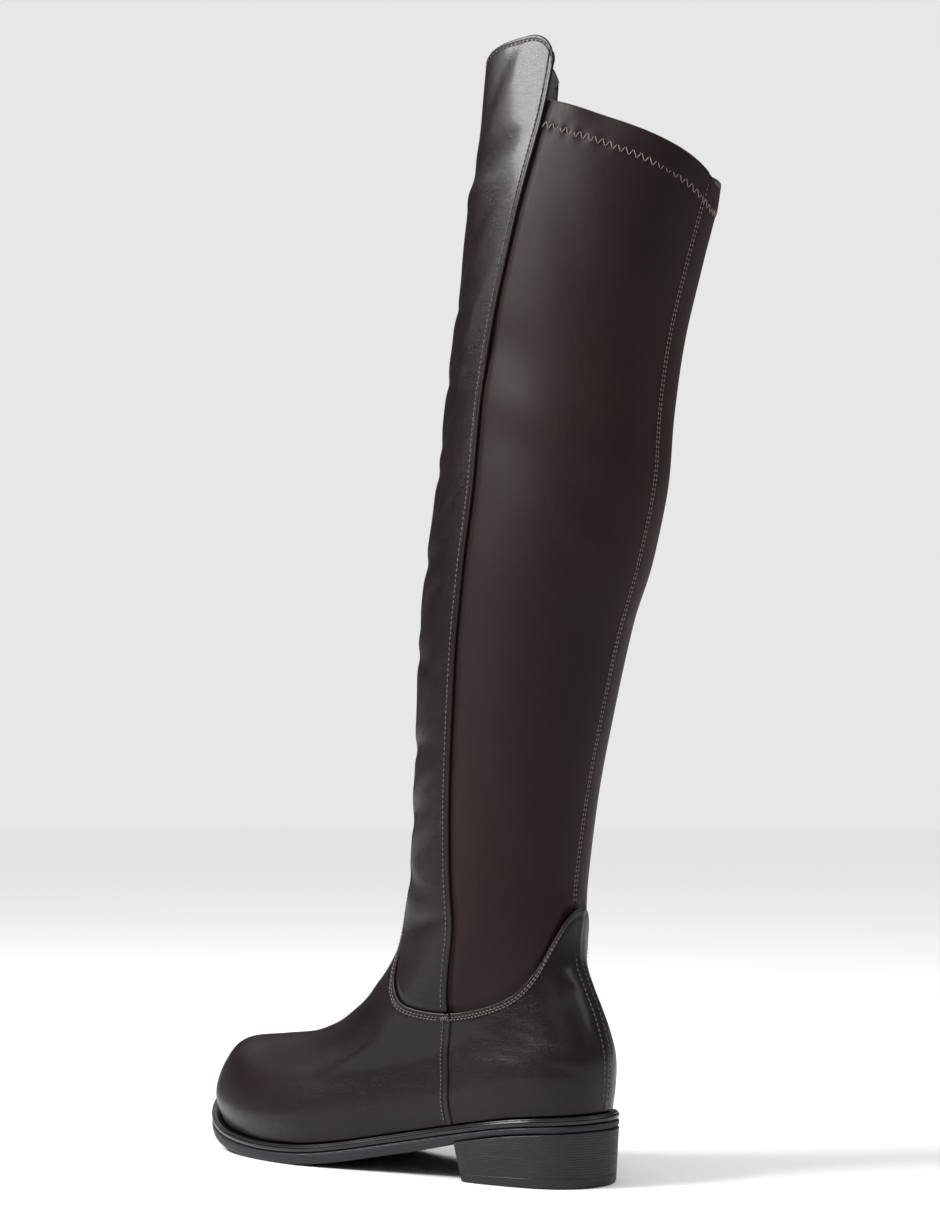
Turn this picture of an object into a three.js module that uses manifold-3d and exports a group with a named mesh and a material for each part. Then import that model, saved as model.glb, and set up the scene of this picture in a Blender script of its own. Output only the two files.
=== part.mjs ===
// A left knee-high riding boot: leather foot and shin panel, stretch fabric shaft with a zip on its inner side, and a
// welted rubber sole with a low block heel.
// Millimetres. The origin is the middle of the heel's flat base on the floor, X runs to the toe,
// Y to the wearer's left, which is the outer side of this boot, and Z is up.
import * as THREE from 'three';
import { mergeVertices } from 'three/addons/utils/BufferGeometryUtils.js';
import Module from 'manifold-3d';

const wasm = await Module();
wasm.setup();

// Wall thicknesses and the clearance between pieces that touch.
const LEATHER_WALL = 2.0;
const PANEL_WALL = 1.8;
const FABRIC_WALL = 1.4;
const GAP = 0.3;
// Gap between the shin panel and the stretch fabric, in radians round the boot.
const PANEL_EDGE_GAP = 0.01;
// The shaft's panels are drawn from this far below the topline and then cut along it.
const SHAFT_START = 3;

// Sole: welt and outsole sizes. The outsole's flat tread spot and the heel's base both lie on Z = 0.
const WELT_HEIGHT = 4.2;
const WELT_REACH_FRONT = 4.6;
const WELT_REACH_HEEL = 4;
const WELT_INSIDE = 8;
const WELT_ROUND = 1.1;
// The welt is at its full reach from 1 / WELT_WIDENING of the sole's length.
const WELT_WIDENING = 2.5;
const INSOLE_TOP = 2;
const OUTSOLE_SIDE = { inset: 0.5, swell: 0.4, undercut: 1.2 };
const TREAD_FLAT = 0.4;
const TOE_SWING = 9;

// Block heel: X of its breast, the breast's hollow, the height of its rounded lower edge, and its loops. A loop's
// at runs from the top (0) to the lower edge (1), inset is how far it lies inside the welt's edge and rake how far
// the breast leans back. The last loop is the flat base.
const HEEL_BREAST = 30;
const BREAST_HOLLOW = 3;
const HEEL_EDGE = 1.6;
const HEEL_LOOPS = [
  { at: 0, inset: 0.3, rake: 0 },
  { at: 0.5, inset: 1.1, rake: 1.8 },
  { at: 1, inset: 1.9, rake: 4 },
];
const HEEL_BASE = { inset: 3.02, rake: 4.8 };

// Horizontal sections of the boot's outer surface, from the feather line at the sole to the top of the shin tab.
// front and back are the X of a section's two ends and frontZ and backZ their heights, outer and inner its half
// widths, middle the Y of its centre, last how far it has the outline of the last (1) or of a leg (0),
// slim how much narrower it is towards the shin, and turn its twist about Z in degrees.
const SECTION_COLUMNS = ['front', 'frontZ', 'back', 'backZ', 'outer', 'inner',
  'middle', 'last', 'slim', 'turn'];
const SECTIONS = [
  [216, 28, -35, 35.5, 41, 41, 0, 1, 0, 0],
  [220, 38, -36.5, 48, 43, 43, 0, 1, 0, 0],
  [214.5, 48.5, -37, 61, 42, 42, 0, 1, 0, 0],
  [202, 57.5, -34.5, 73, 39, 39, 0, 0.9, 0, 0],
  [176, 61, -30.5, 84, 37, 36, 0, 0.72, 0, 0],
  [147, 65, -25.5, 95, 35.5, 34.5, 0, 0.5, 0, 0],
  [121, 76, -21, 106, 35.5, 34.5, 0, 0.3, 0.05, 0],
  [99, 93, -19.5, 117, 36.5, 35.5, 0, 0.15, 0.08, 1],
  [82, 116, -19.5, 131, 38, 37, 0, 0.05, 0.1, 2],
  [76, 148, -20, 148, 39, 39, 0, 0, 0.12, 3],
  [72.5, 190, -26, 190, 40.5, 40.5, 0, 0, 0.15, 5],
  [71, 228, -33.5, 228, 42.5, 42.5, -1, 0, 0.17, 7],
  [69.5, 265, -42.5, 265, 44, 44, -1.5, 0, 0.2, 9],
  [64.5, 302, -54.5, 302, 46, 46, -2, 0, 0.22, 11],
  [58, 340, -63.5, 340, 46.5, 46.5, -3, 0, 0.24, 13],
  [53.5, 378, -67, 378, 46.5, 46.5, -4, 0, 0.26, 14],
  [48.5, 415, -72.5, 415, 46.5, 46.5, -5, 0, 0.28, 16],
  [42.5, 452, -82.5, 452, 46.5, 46.5, -5.5, 0, 0.3, 17],
  [36.5, 490, -93, 490, 46, 46, -6, 0, 0.34, 18],
  [29, 530, -98, 530, 42, 42, -6, 0, 0.42, 20],
  [24, 572, -100, 572, 36, 36, -6, 0, 0.5, 21],
].map((row, at) => Object.fromEntries([['at', at], ...row.map((value, i) => [SECTION_COLUMNS[i], value])]));

// The last's outline against an ellipse: at runs from the heel (0) to the toe (1).
const LAST_OUTLINE = [
  { at: 0, outer: 1.42, inner: 1.42 },
  { at: 0.08, outer: 1.15, inner: 1.15 },
  { at: 0.15, outer: 0.99, inner: 0.98 },
  { at: 0.3, outer: 0.81, inner: 0.75 },
  { at: 0.42, outer: 0.82, inner: 0.68 },
  { at: 0.55, outer: 0.94, inner: 0.8 },
  { at: 0.65, outer: 1.06, inner: 0.98 },
  { at: 0.75, outer: 1.12, inner: 1.16 },
  { at: 0.85, outer: 1.16, inner: 1.28 },
  { at: 0.93, outer: 1.24, inner: 1.36 },
  { at: 1, outer: 1.42, inner: 1.42 },
];

// Height of the feather line, where the upper meets the welt, from heel to toe.
const FEATHER = [
  { at: 0, height: 35.5 },
  { at: 0.13, height: 33 },
  { at: 0.26, height: 27.6 },
  { at: 0.4, height: 21 },
  { at: 0.55, height: 14 },
  { at: 0.64, height: 11.2 },
  { at: 0.76, height: 10.3 },
  { at: 0.87, height: 12 },
  { at: 0.93, height: 15.2 },
  { at: 0.97, height: 20.4 },
  { at: 1, height: 28 },
];

// Thickness of the outsole below the welt: thin over the heel, full in the waist and forepart.
const OUTSOLE_THICKNESS = [
  { at: 0, depth: 3 },
  { at: 0.24, depth: 3 },
  { at: 0.3, depth: 5 },
  { at: 0.5, depth: 5.4 },
  { at: 1, depth: 5.4 },
];

// Top edge of the leather foot: its height at each angle from the front, alike on both sides.
const TOPLINE = [
  { at: 0, height: 150 },
  { at: 10, height: 148 },
  { at: 18, height: 142 },
  { at: 25, height: 134 },
  { at: 32, height: 124 },
  { at: 41, height: 112 },
  { at: 50, height: 103 },
  { at: 62, height: 93.5 },
  { at: 77, height: 85.5 },
  { at: 90, height: 82.5 },
  { at: 105, height: 81.5 },
  { at: 118, height: 84 },
  { at: 132, height: 90 },
  { at: 141, height: 97 },
  { at: 150, height: 106.4 },
  { at: 158, height: 118 },
  { at: 166, height: 127.6 },
  { at: 173, height: 132.4 },
  { at: 180, height: 133.6 },
];

// Rim of the stretch fabric, by angle from the front, and the rounded tab of the shin panel above it.
const COLLAR = [
  { at: 55, height: 535 },
  { at: 69, height: 532 },
  { at: 88, height: 524 },
  { at: 103, height: 517.5 },
  { at: 123, height: 509 },
  { at: 142, height: 501 },
  { at: 160, height: 493.5 },
  { at: 172, height: 489 },
  { at: 180, height: 488 },
];
const TAB_TOP = 567;
const TAB_CORNER = 15;

// The two edges of the shin panel and the line of the zip, as angles from the front at each section.
const PANEL_EDGES = [
  { at: 1.1, outer: 116, zip: 107 },
  { at: 4, outer: 108, zip: 104 },
  { at: 5.4, outer: 104, zip: 100 },
  { at: 7.2, outer: 94, zip: 91 },
  { at: 8.7, outer: 86, zip: 83 },
  { at: 10, outer: 77, zip: 75 },
  { at: 12, outer: 70, zip: 68 },
  { at: 14, outer: 63, zip: 60 },
  { at: 16, outer: 61, zip: 58 },
  { at: 17.5, outer: 64, zip: 60 },
  { at: 19, outer: 69, zip: 64 },
  { at: 20, outer: 71, zip: 66 },
];
const ZIP_BOTTOM = 1.1;

// Zip: the visible slot, its tape and chain, and the metal slider with its bridge and hanging pull.
const ZIP_SLOT = 10;
const ZIP_TAPE = { width: 22, thickness: 0.9 };
const ZIP_CHAIN = { width: 6, proud: 0.3 };
const SLIDER = { width: 8.6, foot: 7, length: 12, plate: 1.4, corner: 3, flare: 0.2, belowRim: 12 };
const BRIDGE = { width: 2.4, span: 7.2, bar: 1.2, clear: 2.6, sunk: 0.6 };
const PULL = {
  neck: 6.4, width: 8.4, shoulder: 3, length: 25, thickness: 1.6, hole: 3.4, holeLength: 4, axisHeight: 1.3,
};
// Box that cuts the zip's slot through the foot: how far it passes the leather outside, inside and above.
const SLOT_CUT = { outside: 3, inside: 2, above: 12 };

const SOLE_COLUMNS = 72;

const smooth = (t) => t * t * (3 - 2 * t);
const mix = (a, b, t) => a + (b - a) * t;
const clamp = (value, low, high) => Math.min(high, Math.max(low, value));
const radians = THREE.MathUtils.degToRad;

// A smooth curve through one column of a table whose rows rise in at.
function along(rows, column, at) {
  const last = rows.length - 1;
  const place = clamp(at, rows[0].at, rows[last].at);
  let i = 0;
  while (i < last - 1 && rows[i + 1].at < place) i += 1;
  const slope = (k) => {
    const before = rows[Math.max(k - 1, 0)];
    const after = rows[Math.min(k + 1, last)];
    return (after[column] - before[column]) / (after.at - before.at);
  };
  const span = rows[i + 1].at - rows[i].at;
  const t = (place - rows[i].at) / span;
  const a = rows[i][column];
  const b = rows[i + 1][column];
  const bend = (1 - t) * slope(i) * span - t * slope(i + 1) * span + (2 * t - 1) * (b - a);
  return mix(a, b, t) + t * (1 - t) * bend;
}

// A point of the boot's outer surface. level is a place among the sections, angle runs in radians from the front
// over the outer side to the back and over the inner side.
function surface(level, angle) {
  const column = (name) => along(SECTIONS, name, level);
  const station = (1 + Math.cos(angle)) / 2;
  const outerSide = Math.sin(angle) >= 0;
  const side = outerSide ? 'outer' : 'inner';
  const last = column('last');
  const outline = mix(1 - column('slim') * station, along(LAST_OUTLINE, side, station), last);
  const feather = along(FEATHER, 'height', station) - mix(FEATHER[0].height, FEATHER.at(-1).height, station);
  const centre = (column('front') + column('back')) / 2;
  const x = column('front') * station + column('back') * (1 - station) - centre;
  const y = Math.sin(angle) * column(side) * outline - TOE_SWING * station * station * last;
  const turn = radians(column('turn'));
  return new THREE.Vector3(
    centre + x * Math.cos(turn) - y * Math.sin(turn),
    column('middle') + x * Math.sin(turn) + y * Math.cos(turn),
    mix(column('backZ'), column('frontZ'), station) + feather * last,
  );
}

const STEP = 1e-3;
const across = (level, angle) =>
  surface(level, angle + STEP).sub(surface(level, angle - STEP)).divideScalar(2 * STEP);
const upward = (level, angle) =>
  surface(level + STEP, angle).sub(surface(level - STEP, angle)).divideScalar(2 * STEP);

// The surface moved out along its normal, or in where depth is negative.
function skin(level, angle, depth) {
  const inside = clamp(level, STEP, SECTIONS.length - 1 - STEP);
  const normal = across(inside, angle).cross(upward(inside, angle)).normalize();
  return surface(level, angle).addScaledVector(normal, depth);
}

// The level at which the surface reaches a height.
function levelAt(height, angle) {
  let low = 0;
  let high = SECTIONS.length - 1;
  for (let i = 0; i < 30; i += 1) {
    const half = (low + high) / 2;
    if (surface(half, angle).z < height) low = half;
    else high = half;
  }
  return (low + high) / 2;
}

// The angle from the front, 0 to 180 degrees, on either side.
const fromFront = (angle) => (Math.acos(Math.cos(angle)) * 180) / Math.PI;
const topline = (angle) => along(TOPLINE, 'height', fromFront(angle));
const outerEdge = (level) => radians(along(PANEL_EDGES, 'outer', level));

const zipAngle = (level) => -radians(along(PANEL_EDGES, 'zip', level));

// An angle that lies a distance to one side of the zip's line.
const besideZip = (level, distance) =>
  zipAngle(level) + distance / across(level, zipAngle(level)).length();

const collar = (angle) => along(COLLAR, 'height', fromFront(angle));

// A closed solid from a grid of points on two skins. place(s, t, outside) gives each point.
function shellGeometry(columns, rows, closed, place) {
  const positions = [];
  const faces = [];
  const wide = closed ? columns : columns + 1;
  for (const outside of [true, false]) {
    for (let j = 0; j <= rows; j += 1) {
      for (let i = 0; i < wide; i += 1) positions.push(...place(i / columns, j / rows, outside).toArray());
    }
  }
  const index = (i, j, outside) => (outside ? 0 : wide * (rows + 1)) + j * wide + (i % wide);
  const quad = (a, b, c, d) => faces.push(a, b, c, a, c, d);
  for (let j = 0; j < rows; j += 1) {
    for (let i = 0; i < columns; i += 1) {
      quad(index(i, j, true), index(i + 1, j, true), index(i + 1, j + 1, true), index(i, j + 1, true));
      quad(index(i, j, false), index(i, j + 1, false), index(i + 1, j + 1, false), index(i + 1, j, false));
    }
  }
  for (let i = 0; i < columns; i += 1) {
    quad(index(i, 0, false), index(i + 1, 0, false), index(i + 1, 0, true), index(i, 0, true));
    quad(index(i, rows, true), index(i + 1, rows, true), index(i + 1, rows, false), index(i, rows, false));
  }
  for (let j = 0; j < rows && !closed; j += 1) {
    quad(index(0, j, true), index(0, j + 1, true), index(0, j + 1, false), index(0, j, false));
    const [low, high] = [j, j + 1];
    quad(index(columns, low, false), index(columns, high, false), index(columns, high, true), index(columns, low, true));
  }
  return geometryOf(positions, faces);
}

function geometryOf(positions, faces) {
  const geometry = new THREE.BufferGeometry();
  geometry.setAttribute('position', new THREE.Float32BufferAttribute(positions, 3));
  geometry.setIndex(faces);
  return geometry;
}

// A panel of the upper between two edge lines, which depend on the level, and two end lines, which depend on the
// angle.
function panelGeometry({ columns, rows, edges, ends, outside, inside }) {
  return shellGeometry(columns, rows, false, (s, t, isOutside) => {
    let level = SECTIONS.length / 2;
    let angle = 0;
    for (let i = 0; i < 12; i += 1) {
      angle = mix(edges[0](level), edges[1](level), s);
      level = mix(ends[0](angle), ends[1](angle), t);
    }
    return skin(level, angle, isOutside ? outside : inside);
  });
}

// Solids for cutting and joining.
function solidOf(geometry) {
  const bare = geometry.clone();
  bare.deleteAttribute('normal');
  bare.deleteAttribute('uv');
  const merged = mergeVertices(bare, 1e-4);
  return new wasm.Manifold(
    new wasm.Mesh({
      numProp: 3,
      vertProperties: merged.attributes.position.array,
      triVerts: new Uint32Array(merged.index.array),
    }),
  );
}

function geometryFrom(solid) {
  const mesh = solid.getMesh();
  return geometryOf(Array.from(mesh.vertProperties), Array.from(mesh.triVerts));
}

// A wall from one level to another round the whole boot, each given for an angle.
const wallGeometry = (rows, bottom, top, outside, inside) =>
  shellGeometry(96, rows, true, (s, t, isOutside) => {
    const angle = s * 2 * Math.PI;
    return skin(mix(bottom(angle), top(angle), t), angle, isOutside ? outside : inside);
  });

// Leather foot: one hollow wall from the feather line to the topline, with a slot for the zip.
function upperGeometry() {
  const wall = wallGeometry(18, () => 0, (angle) => levelAt(topline(angle), angle), 0, -LEATHER_WALL);
  const slot = panelGeometry({
    columns: 2,
    rows: 12,
    edges: [(level) => besideZip(level, -ZIP_SLOT / 2), (level) => besideZip(level, ZIP_SLOT / 2)],
    ends: [() => ZIP_BOTTOM, (angle) => levelAt(topline(angle) + SLOT_CUT.above, angle)],
    outside: SLOT_CUT.outside,
    inside: -LEATHER_WALL - SLOT_CUT.inside,
  });
  return geometryFrom(solidOf(wall).subtract(solidOf(slot)));
}

// The panels of the shaft start below the topline and are cut along it with a small clearance.
const shaftFoot = (angle) => levelAt(topline(angle) - SHAFT_START, angle);

function aboveTopline(geometry) {
  const below = wallGeometry(
    6,
    (angle) => levelAt(topline(angle) - 3 * SHAFT_START, angle),
    (angle) => levelAt(topline(angle) + 3 * GAP, angle),
    1,
    -LEATHER_WALL - 1,
  );
  return geometryFrom(solidOf(geometry).subtract(solidOf(below)));
}

// The shin panel's level top with a rounded corner at each edge.
function tabTop(angle) {
  const level = levelAt(collar(radians(69)), angle);
  const edge = angle > 0 ? outerEdge(level) : besideZip(level, ZIP_SLOT / 2);
  const toEdge = Math.abs(edge - angle) * across(level, angle).length();
  const corner = 1 - clamp(toEdge / TAB_CORNER, 0, 1);
  return levelAt(TAB_TOP - TAB_CORNER * (1 - Math.sqrt(1 - corner * corner)), angle);
}

const shinPanelGeometry = () =>
  aboveTopline(
    panelGeometry({
      columns: 18,
      rows: 36,
      edges: [(level) => besideZip(level, ZIP_SLOT / 2), (level) => outerEdge(level) - PANEL_EDGE_GAP],
      ends: [shaftFoot, tabTop],
      outside: 0,
      inside: -PANEL_WALL,
    }),
  );

const stretchShaftGeometry = () =>
  aboveTopline(
    panelGeometry({
      columns: 40,
      rows: 32,
      edges: [outerEdge, (level) => besideZip(level, -ZIP_SLOT / 2) + 2 * Math.PI],
      ends: [shaftFoot, (angle) => levelAt(collar(angle), angle)],
      outside: 0,
      inside: -FABRIC_WALL,
    }),
  );

// Zip tape and chain behind the slot, from the foot to the rim.
const zipEnd = (below) => {
  const level = levelAt(collar(radians(65)) - below, -radians(65));
  return () => levelAt(collar(zipAngle(level)) - below, zipAngle(level));
};

const zipTapeGeometry = () =>
  panelGeometry({
    columns: 4,
    rows: 36,
    edges: [(level) => besideZip(level, -ZIP_TAPE.width / 2), (level) => besideZip(level, ZIP_TAPE.width / 2)],
    ends: [() => ZIP_BOTTOM - 0.3, zipEnd(3)],
    outside: -LEATHER_WALL - GAP,
    inside: -LEATHER_WALL - GAP - ZIP_TAPE.thickness,
  });

const zipChainGeometry = () =>
  panelGeometry({
    columns: 2,
    rows: 36,
    edges: [(level) => besideZip(level, -ZIP_CHAIN.width / 2), (level) => besideZip(level, ZIP_CHAIN.width / 2)],
    ends: [() => ZIP_BOTTOM + 0.1, zipEnd(8)],
    outside: ZIP_CHAIN.proud,
    inside: -LEATHER_WALL + 0.1,
  });

// The slider's own axes: X across the zip, Y up along it and Z out of the boot, from the top of its plate.
function sliderFrame() {
  const level = zipEnd(SLIDER.belowRim)();
  const angle = zipAngle(level);
  const [below, above] = [level - 0.2, level + 0.2];
  const up = surface(above, zipAngle(above)).sub(surface(below, zipAngle(below))).normalize();
  const out = across(level, angle).cross(up).normalize();
  const side = up.clone().cross(out);
  const height = ZIP_CHAIN.proud + GAP + SLIDER.plate;
  return new THREE.Matrix4().makeBasis(side, up, out).setPosition(skin(level, angle, height));
}

function extrude(shape, depth) {
  return new THREE.ExtrudeGeometry(shape, { depth, bevelEnabled: false, curveSegments: 10 });
}

function sliderGeometry() {
  const { width, foot, length, plate, corner, flare } = SLIDER;
  const outline = new THREE.Shape();
  outline.moveTo(-foot / 2, -length / 2);
  outline.lineTo(foot / 2, -length / 2);
  outline.quadraticCurveTo(foot / 2 + flare, 0, width / 2, length / 2 - corner);
  outline.quadraticCurveTo(width / 2, length / 2, width / 2 - corner, length / 2);
  outline.lineTo(corner - width / 2, length / 2);
  outline.quadraticCurveTo(-width / 2, length / 2, -width / 2, length / 2 - corner);
  outline.quadraticCurveTo(-foot / 2 - flare, 0, -foot / 2, -length / 2);
  const body = extrude(outline, plate).translate(0, 0, -plate);

  const { bar, clear, sunk } = BRIDGE;
  const half = BRIDGE.span / 2;
  const arch = new THREE.Shape();
  arch.moveTo(-half, -sunk);
  arch.lineTo(-half, clear);
  arch.lineTo(bar - half, clear + bar);
  arch.lineTo(half - bar, clear + bar);
  arch.lineTo(half, clear);
  arch.lineTo(half, -sunk);
  arch.lineTo(half - bar, -sunk);
  arch.lineTo(half - bar, clear);
  arch.lineTo(bar - half, clear);
  arch.lineTo(bar - half, -sunk);
  // The arch is drawn along the zip, so its depth is turned to run across it.
  const bridge = extrude(arch, BRIDGE.width).applyMatrix4(
    new THREE.Matrix4().makeBasis(
      new THREE.Vector3(0, 1, 0),
      new THREE.Vector3(0, 0, 1),
      new THREE.Vector3(1, 0, 0),
    ).setPosition(-BRIDGE.width / 2, 0, 0),
  );
  return geometryFrom(solidOf(body).add(solidOf(bridge)));
}

// The pull hangs from a bar through the bridge. Its own origin is the middle of that bar.
function pullGeometry() {
  const { neck, width, shoulder, length, thickness, hole, holeLength } = PULL;
  const top = thickness / 2;
  const outline = new THREE.Shape();
  outline.moveTo(-neck / 2, top);
  outline.lineTo(-neck / 2, -top - holeLength);
  outline.lineTo(-width / 2, -top - holeLength - shoulder);
  outline.absarc(0, width / 2 - length, width / 2, Math.PI, 2 * Math.PI, false);
  outline.lineTo(width / 2, -top - holeLength - shoulder);
  outline.lineTo(neck / 2, -top - holeLength);
  outline.lineTo(neck / 2, top);
  const plate = extrude(outline, thickness).translate(0, 0, -thickness / 2);
  const slot = new THREE.BoxGeometry(hole, holeLength, 3 * thickness).translate(0, -top - holeLength / 2, 0);
  return geometryFrom(solidOf(plate).subtract(solidOf(slot)));
}

// Outline of the sole: a point beside the feather line, reach millimetres outside it.
function soleOutline(angle, reach) {
  const side = across(0, angle);
  const outward = new THREE.Vector3(side.y, -side.x, 0).normalize();
  return surface(0, angle).addScaledVector(outward, reach);
}

const stationOf = (angle) => (1 + Math.cos(angle)) / 2;
const weltReach = (angle) =>
  mix(WELT_REACH_HEEL, WELT_REACH_FRONT, smooth(clamp(stationOf(angle) * WELT_WIDENING, 0, 1)));
const outsoleTop = (angle) => surface(0, angle).z - GAP - WELT_HEIGHT - GAP;
const outsoleBottom = (angle) => outsoleTop(angle) - along(OUTSOLE_THICKNESS, 'depth', stationOf(angle));

// The lowest part of the outsole is trimmed flat, which makes its tread spot.
const treadLevel = (() => {
  let lowest = Infinity;
  for (let i = 0; i <= 90; i += 1) lowest = Math.min(lowest, outsoleBottom((i * Math.PI) / 90));
  return lowest + TREAD_FLAT;
})();

// The points of a profile of [reach beyond the feather line, height] pairs, repeated round the sole.
function profilePoints(columns, profile) {
  const positions = [];
  for (let i = 0; i < columns; i += 1) {
    const angle = (i / columns) * 2 * Math.PI;
    for (const [reach, height] of profile(angle)) {
      const p = soleOutline(angle, reach);
      positions.push(p.x, p.y, height);
    }
  }
  return positions;
}

// A closed band round the sole, from a closed profile.
function bandGeometry(columns, profile) {
  const positions = profilePoints(columns, profile);
  const faces = [];
  const steps = profile(0).length;
  for (let i = 0; i < columns; i += 1) {
    for (let j = 0; j < steps; j += 1) {
      const a = i * steps + j;
      const b = i * steps + ((j + 1) % steps);
      const c = ((i + 1) % columns) * steps + ((j + 1) % steps);
      const d = ((i + 1) % columns) * steps + j;
      faces.push(a, b, d, b, c, d);
    }
  }
  return geometryOf(positions, faces);
}

// A closed plate with the sole's outline: profile runs down its rim from the top face to the bottom face.
function plateGeometry(columns, profile) {
  const positions = profilePoints(columns, profile);
  const faces = [];
  const steps = profile(0).length;
  const index = (i, j) => (i % columns) * steps + j;
  for (let i = 0; i < columns; i += 1) {
    for (let j = 0; j < steps - 1; j += 1) {
      faces.push(index(i, j), index(i, j + 1), index(i + 1, j + 1));
      faces.push(index(i, j), index(i + 1, j + 1), index(i + 1, j));
    }
  }
  // The two faces are strips across the sole, between each point and its partner on the other side.
  for (let i = 0; i < columns / 2; i += 1) {
    const partner = columns - i;
    for (const [j, up] of [[0, true], [steps - 1, false]]) {
      const corners = [index(i, j), index(i + 1, j), index(partner - 1, j), index(partner, j)];
      if (!up) corners.reverse();
      const [a, b, c, d] = corners;
      if (a !== d) faces.push(a, b, d);
      if (b !== c) faces.push(b, c, d);
    }
  }
  return geometryOf(positions, faces);
}

const weltGeometry = () =>
  bandGeometry(SOLE_COLUMNS, (angle) => {
    const top = surface(0, angle).z - GAP;
    const bottom = top - WELT_HEIGHT;
    const reach = weltReach(angle);
    return [
      [-WELT_INSIDE, top],
      [reach - WELT_ROUND, top],
      [reach, top - WELT_ROUND],
      [reach, bottom + WELT_ROUND],
      [reach - WELT_ROUND, bottom],
      [-WELT_INSIDE, bottom],
    ];
  });

const outsoleGeometry = () =>
  plateGeometry(SOLE_COLUMNS, (angle) => {
    const reach = weltReach(angle) - OUTSOLE_SIDE.inset;
    const top = outsoleTop(angle) - treadLevel;
    const bottom = Math.max(outsoleBottom(angle) - treadLevel, 0);
    return [
      [reach, top],
      [reach + OUTSOLE_SIDE.swell, (top + bottom) / 2],
      [reach - OUTSOLE_SIDE.undercut, bottom],
    ];
  });

// Insole: a sock on the welt's inner ledge, with a filler that reaches down to the outsole.
const insoleGeometry = () =>
  plateGeometry(SOLE_COLUMNS, (angle) => {
    const feather = surface(0, angle).z;
    return [
      [-LEATHER_WALL - 2 * GAP, feather + INSOLE_TOP],
      [-LEATHER_WALL - 2 * GAP, feather],
      [-WELT_INSIDE - GAP, feather],
      [-WELT_INSIDE - GAP, feather - WELT_HEIGHT],
    ];
  });

// Block heel: the sole's outline behind the breast, closed by a shallow hollow curve across it.
function heelGeometry() {
  const backCount = 36;
  const breastCount = 8;
  const breastAngle = (() => {
    let low = 0.4 * Math.PI;
    let high = Math.PI;
    for (let i = 0; i < 40; i += 1) {
      const half = (low + high) / 2;
      if (soleOutline(half, weltReach(half)).x > HEEL_BREAST) low = half;
      else high = half;
    }
    return low;
  })();
  const topAt = (x) => {
    const { front, back } = SECTIONS[0];
    const station = clamp((x - back) / (front - back), 0, 1);
    return along(FEATHER, 'height', station) - WELT_HEIGHT - treadLevel;
  };
  const loop = (inset, rake) => {
    const points = [];
    for (let i = 0; i <= backCount; i += 1) {
      const angle = mix(breastAngle, 2 * Math.PI - breastAngle, i / backCount);
      points.push(soleOutline(angle, weltReach(angle) - inset));
    }
    // The breast leans back towards its foot, and so do the sides next to it.
    for (const point of points) point.x -= rake * smooth(clamp(point.x / HEEL_BREAST, 0, 1));
    const from = points.at(-1);
    const to = points[0];
    for (let i = 1; i < breastCount; i += 1) {
      const t = i / breastCount;
      const point = from.clone().lerp(to, t);
      point.x -= BREAST_HOLLOW * 4 * t * (1 - t);
      points.push(point);
    }
    return points;
  };
  const rings = HEEL_LOOPS.map(({ at, inset, rake }) =>
    loop(inset, rake).map((p) => new THREE.Vector3(p.x, p.y, mix(topAt(p.x), HEEL_EDGE, at))),
  );
  rings.push(loop(HEEL_BASE.inset, HEEL_BASE.rake).map((p) => new THREE.Vector3(p.x, p.y, 0)));
  const count = rings[0].length;
  const positions = rings.flat().flatMap((p) => p.toArray());
  const faces = [];
  for (let j = 0; j < rings.length - 1; j += 1) {
    for (let i = 0; i < count; i += 1) {
      const a = j * count + i;
      const b = j * count + ((i + 1) % count);
      faces.push(a, a + count, b + count, a, b + count, b);
    }
  }
  // Faces at the top and the base are fans about a middle point.
  for (const [j, up] of [[0, true], [rings.length - 1, false]]) {
    const middle = positions.length / 3;
    positions.push(0, 0, up ? topAt(0) : 0);
    for (let i = 0; i < count; i += 1) {
      const a = j * count + i;
      const b = j * count + ((i + 1) % count);
      faces.push(middle, ...(up ? [a, b] : [b, a]));
    }
  }
  // The block is cut off along a plate that reaches from just under the outsole to above the block.
  const aboveHeel = plateGeometry(SOLE_COLUMNS, (angle) => {
    const reach = weltReach(angle) + WELT_ROUND;
    const bottom = outsoleBottom(angle) - treadLevel - GAP;
    return [[reach, bottom + 3 * WELT_HEIGHT], [reach, bottom]];
  });
  return geometryFrom(solidOf(geometryOf(positions, faces)).subtract(solidOf(aboveHeel)));
}

const material = (color, roughness, metalness = 0) =>
  new THREE.MeshStandardMaterial({ color, roughness, metalness });
const leather = material(0x2b2022, 0.45);
const stretch = material(0x2c1f1c, 0.75);
const rubber = material(0x222129, 0.6);
const lining = material(0x4a3a34, 0.8);
const tape = material(0x141214, 0.85);
const gunmetal = material(0x8f8b90, 0.3, 1);
const boot = new THREE.Group();
const shoe = new THREE.Group();
shoe.position.z = -treadLevel;
boot.add(shoe);

function add(parent, name, geometry, finish) {
  const mesh = new THREE.Mesh(geometry, finish);
  mesh.name = name;
  parent.add(mesh);
  return mesh;
}

add(shoe, 'upper', upperGeometry(), leather);
add(shoe, 'shin_panel', shinPanelGeometry(), leather);
add(shoe, 'stretch_shaft', stretchShaftGeometry(), stretch);
add(shoe, 'zip_tape', zipTapeGeometry(), tape);
add(shoe, 'zip_chain', zipChainGeometry(), tape);
const slider = new THREE.Group();
slider.applyMatrix4(sliderFrame());
shoe.add(slider);
add(slider, 'zip_slider', sliderGeometry(), gunmetal);
add(slider, 'zip_pull', pullGeometry(), gunmetal).position.z = PULL.axisHeight;
add(shoe, 'welt', weltGeometry(), rubber);
add(boot, 'outsole', outsoleGeometry(), rubber);
add(boot, 'heel', heelGeometry(), rubber);
add(shoe, 'insole', insoleGeometry(), lining);

export default boot;
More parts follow.
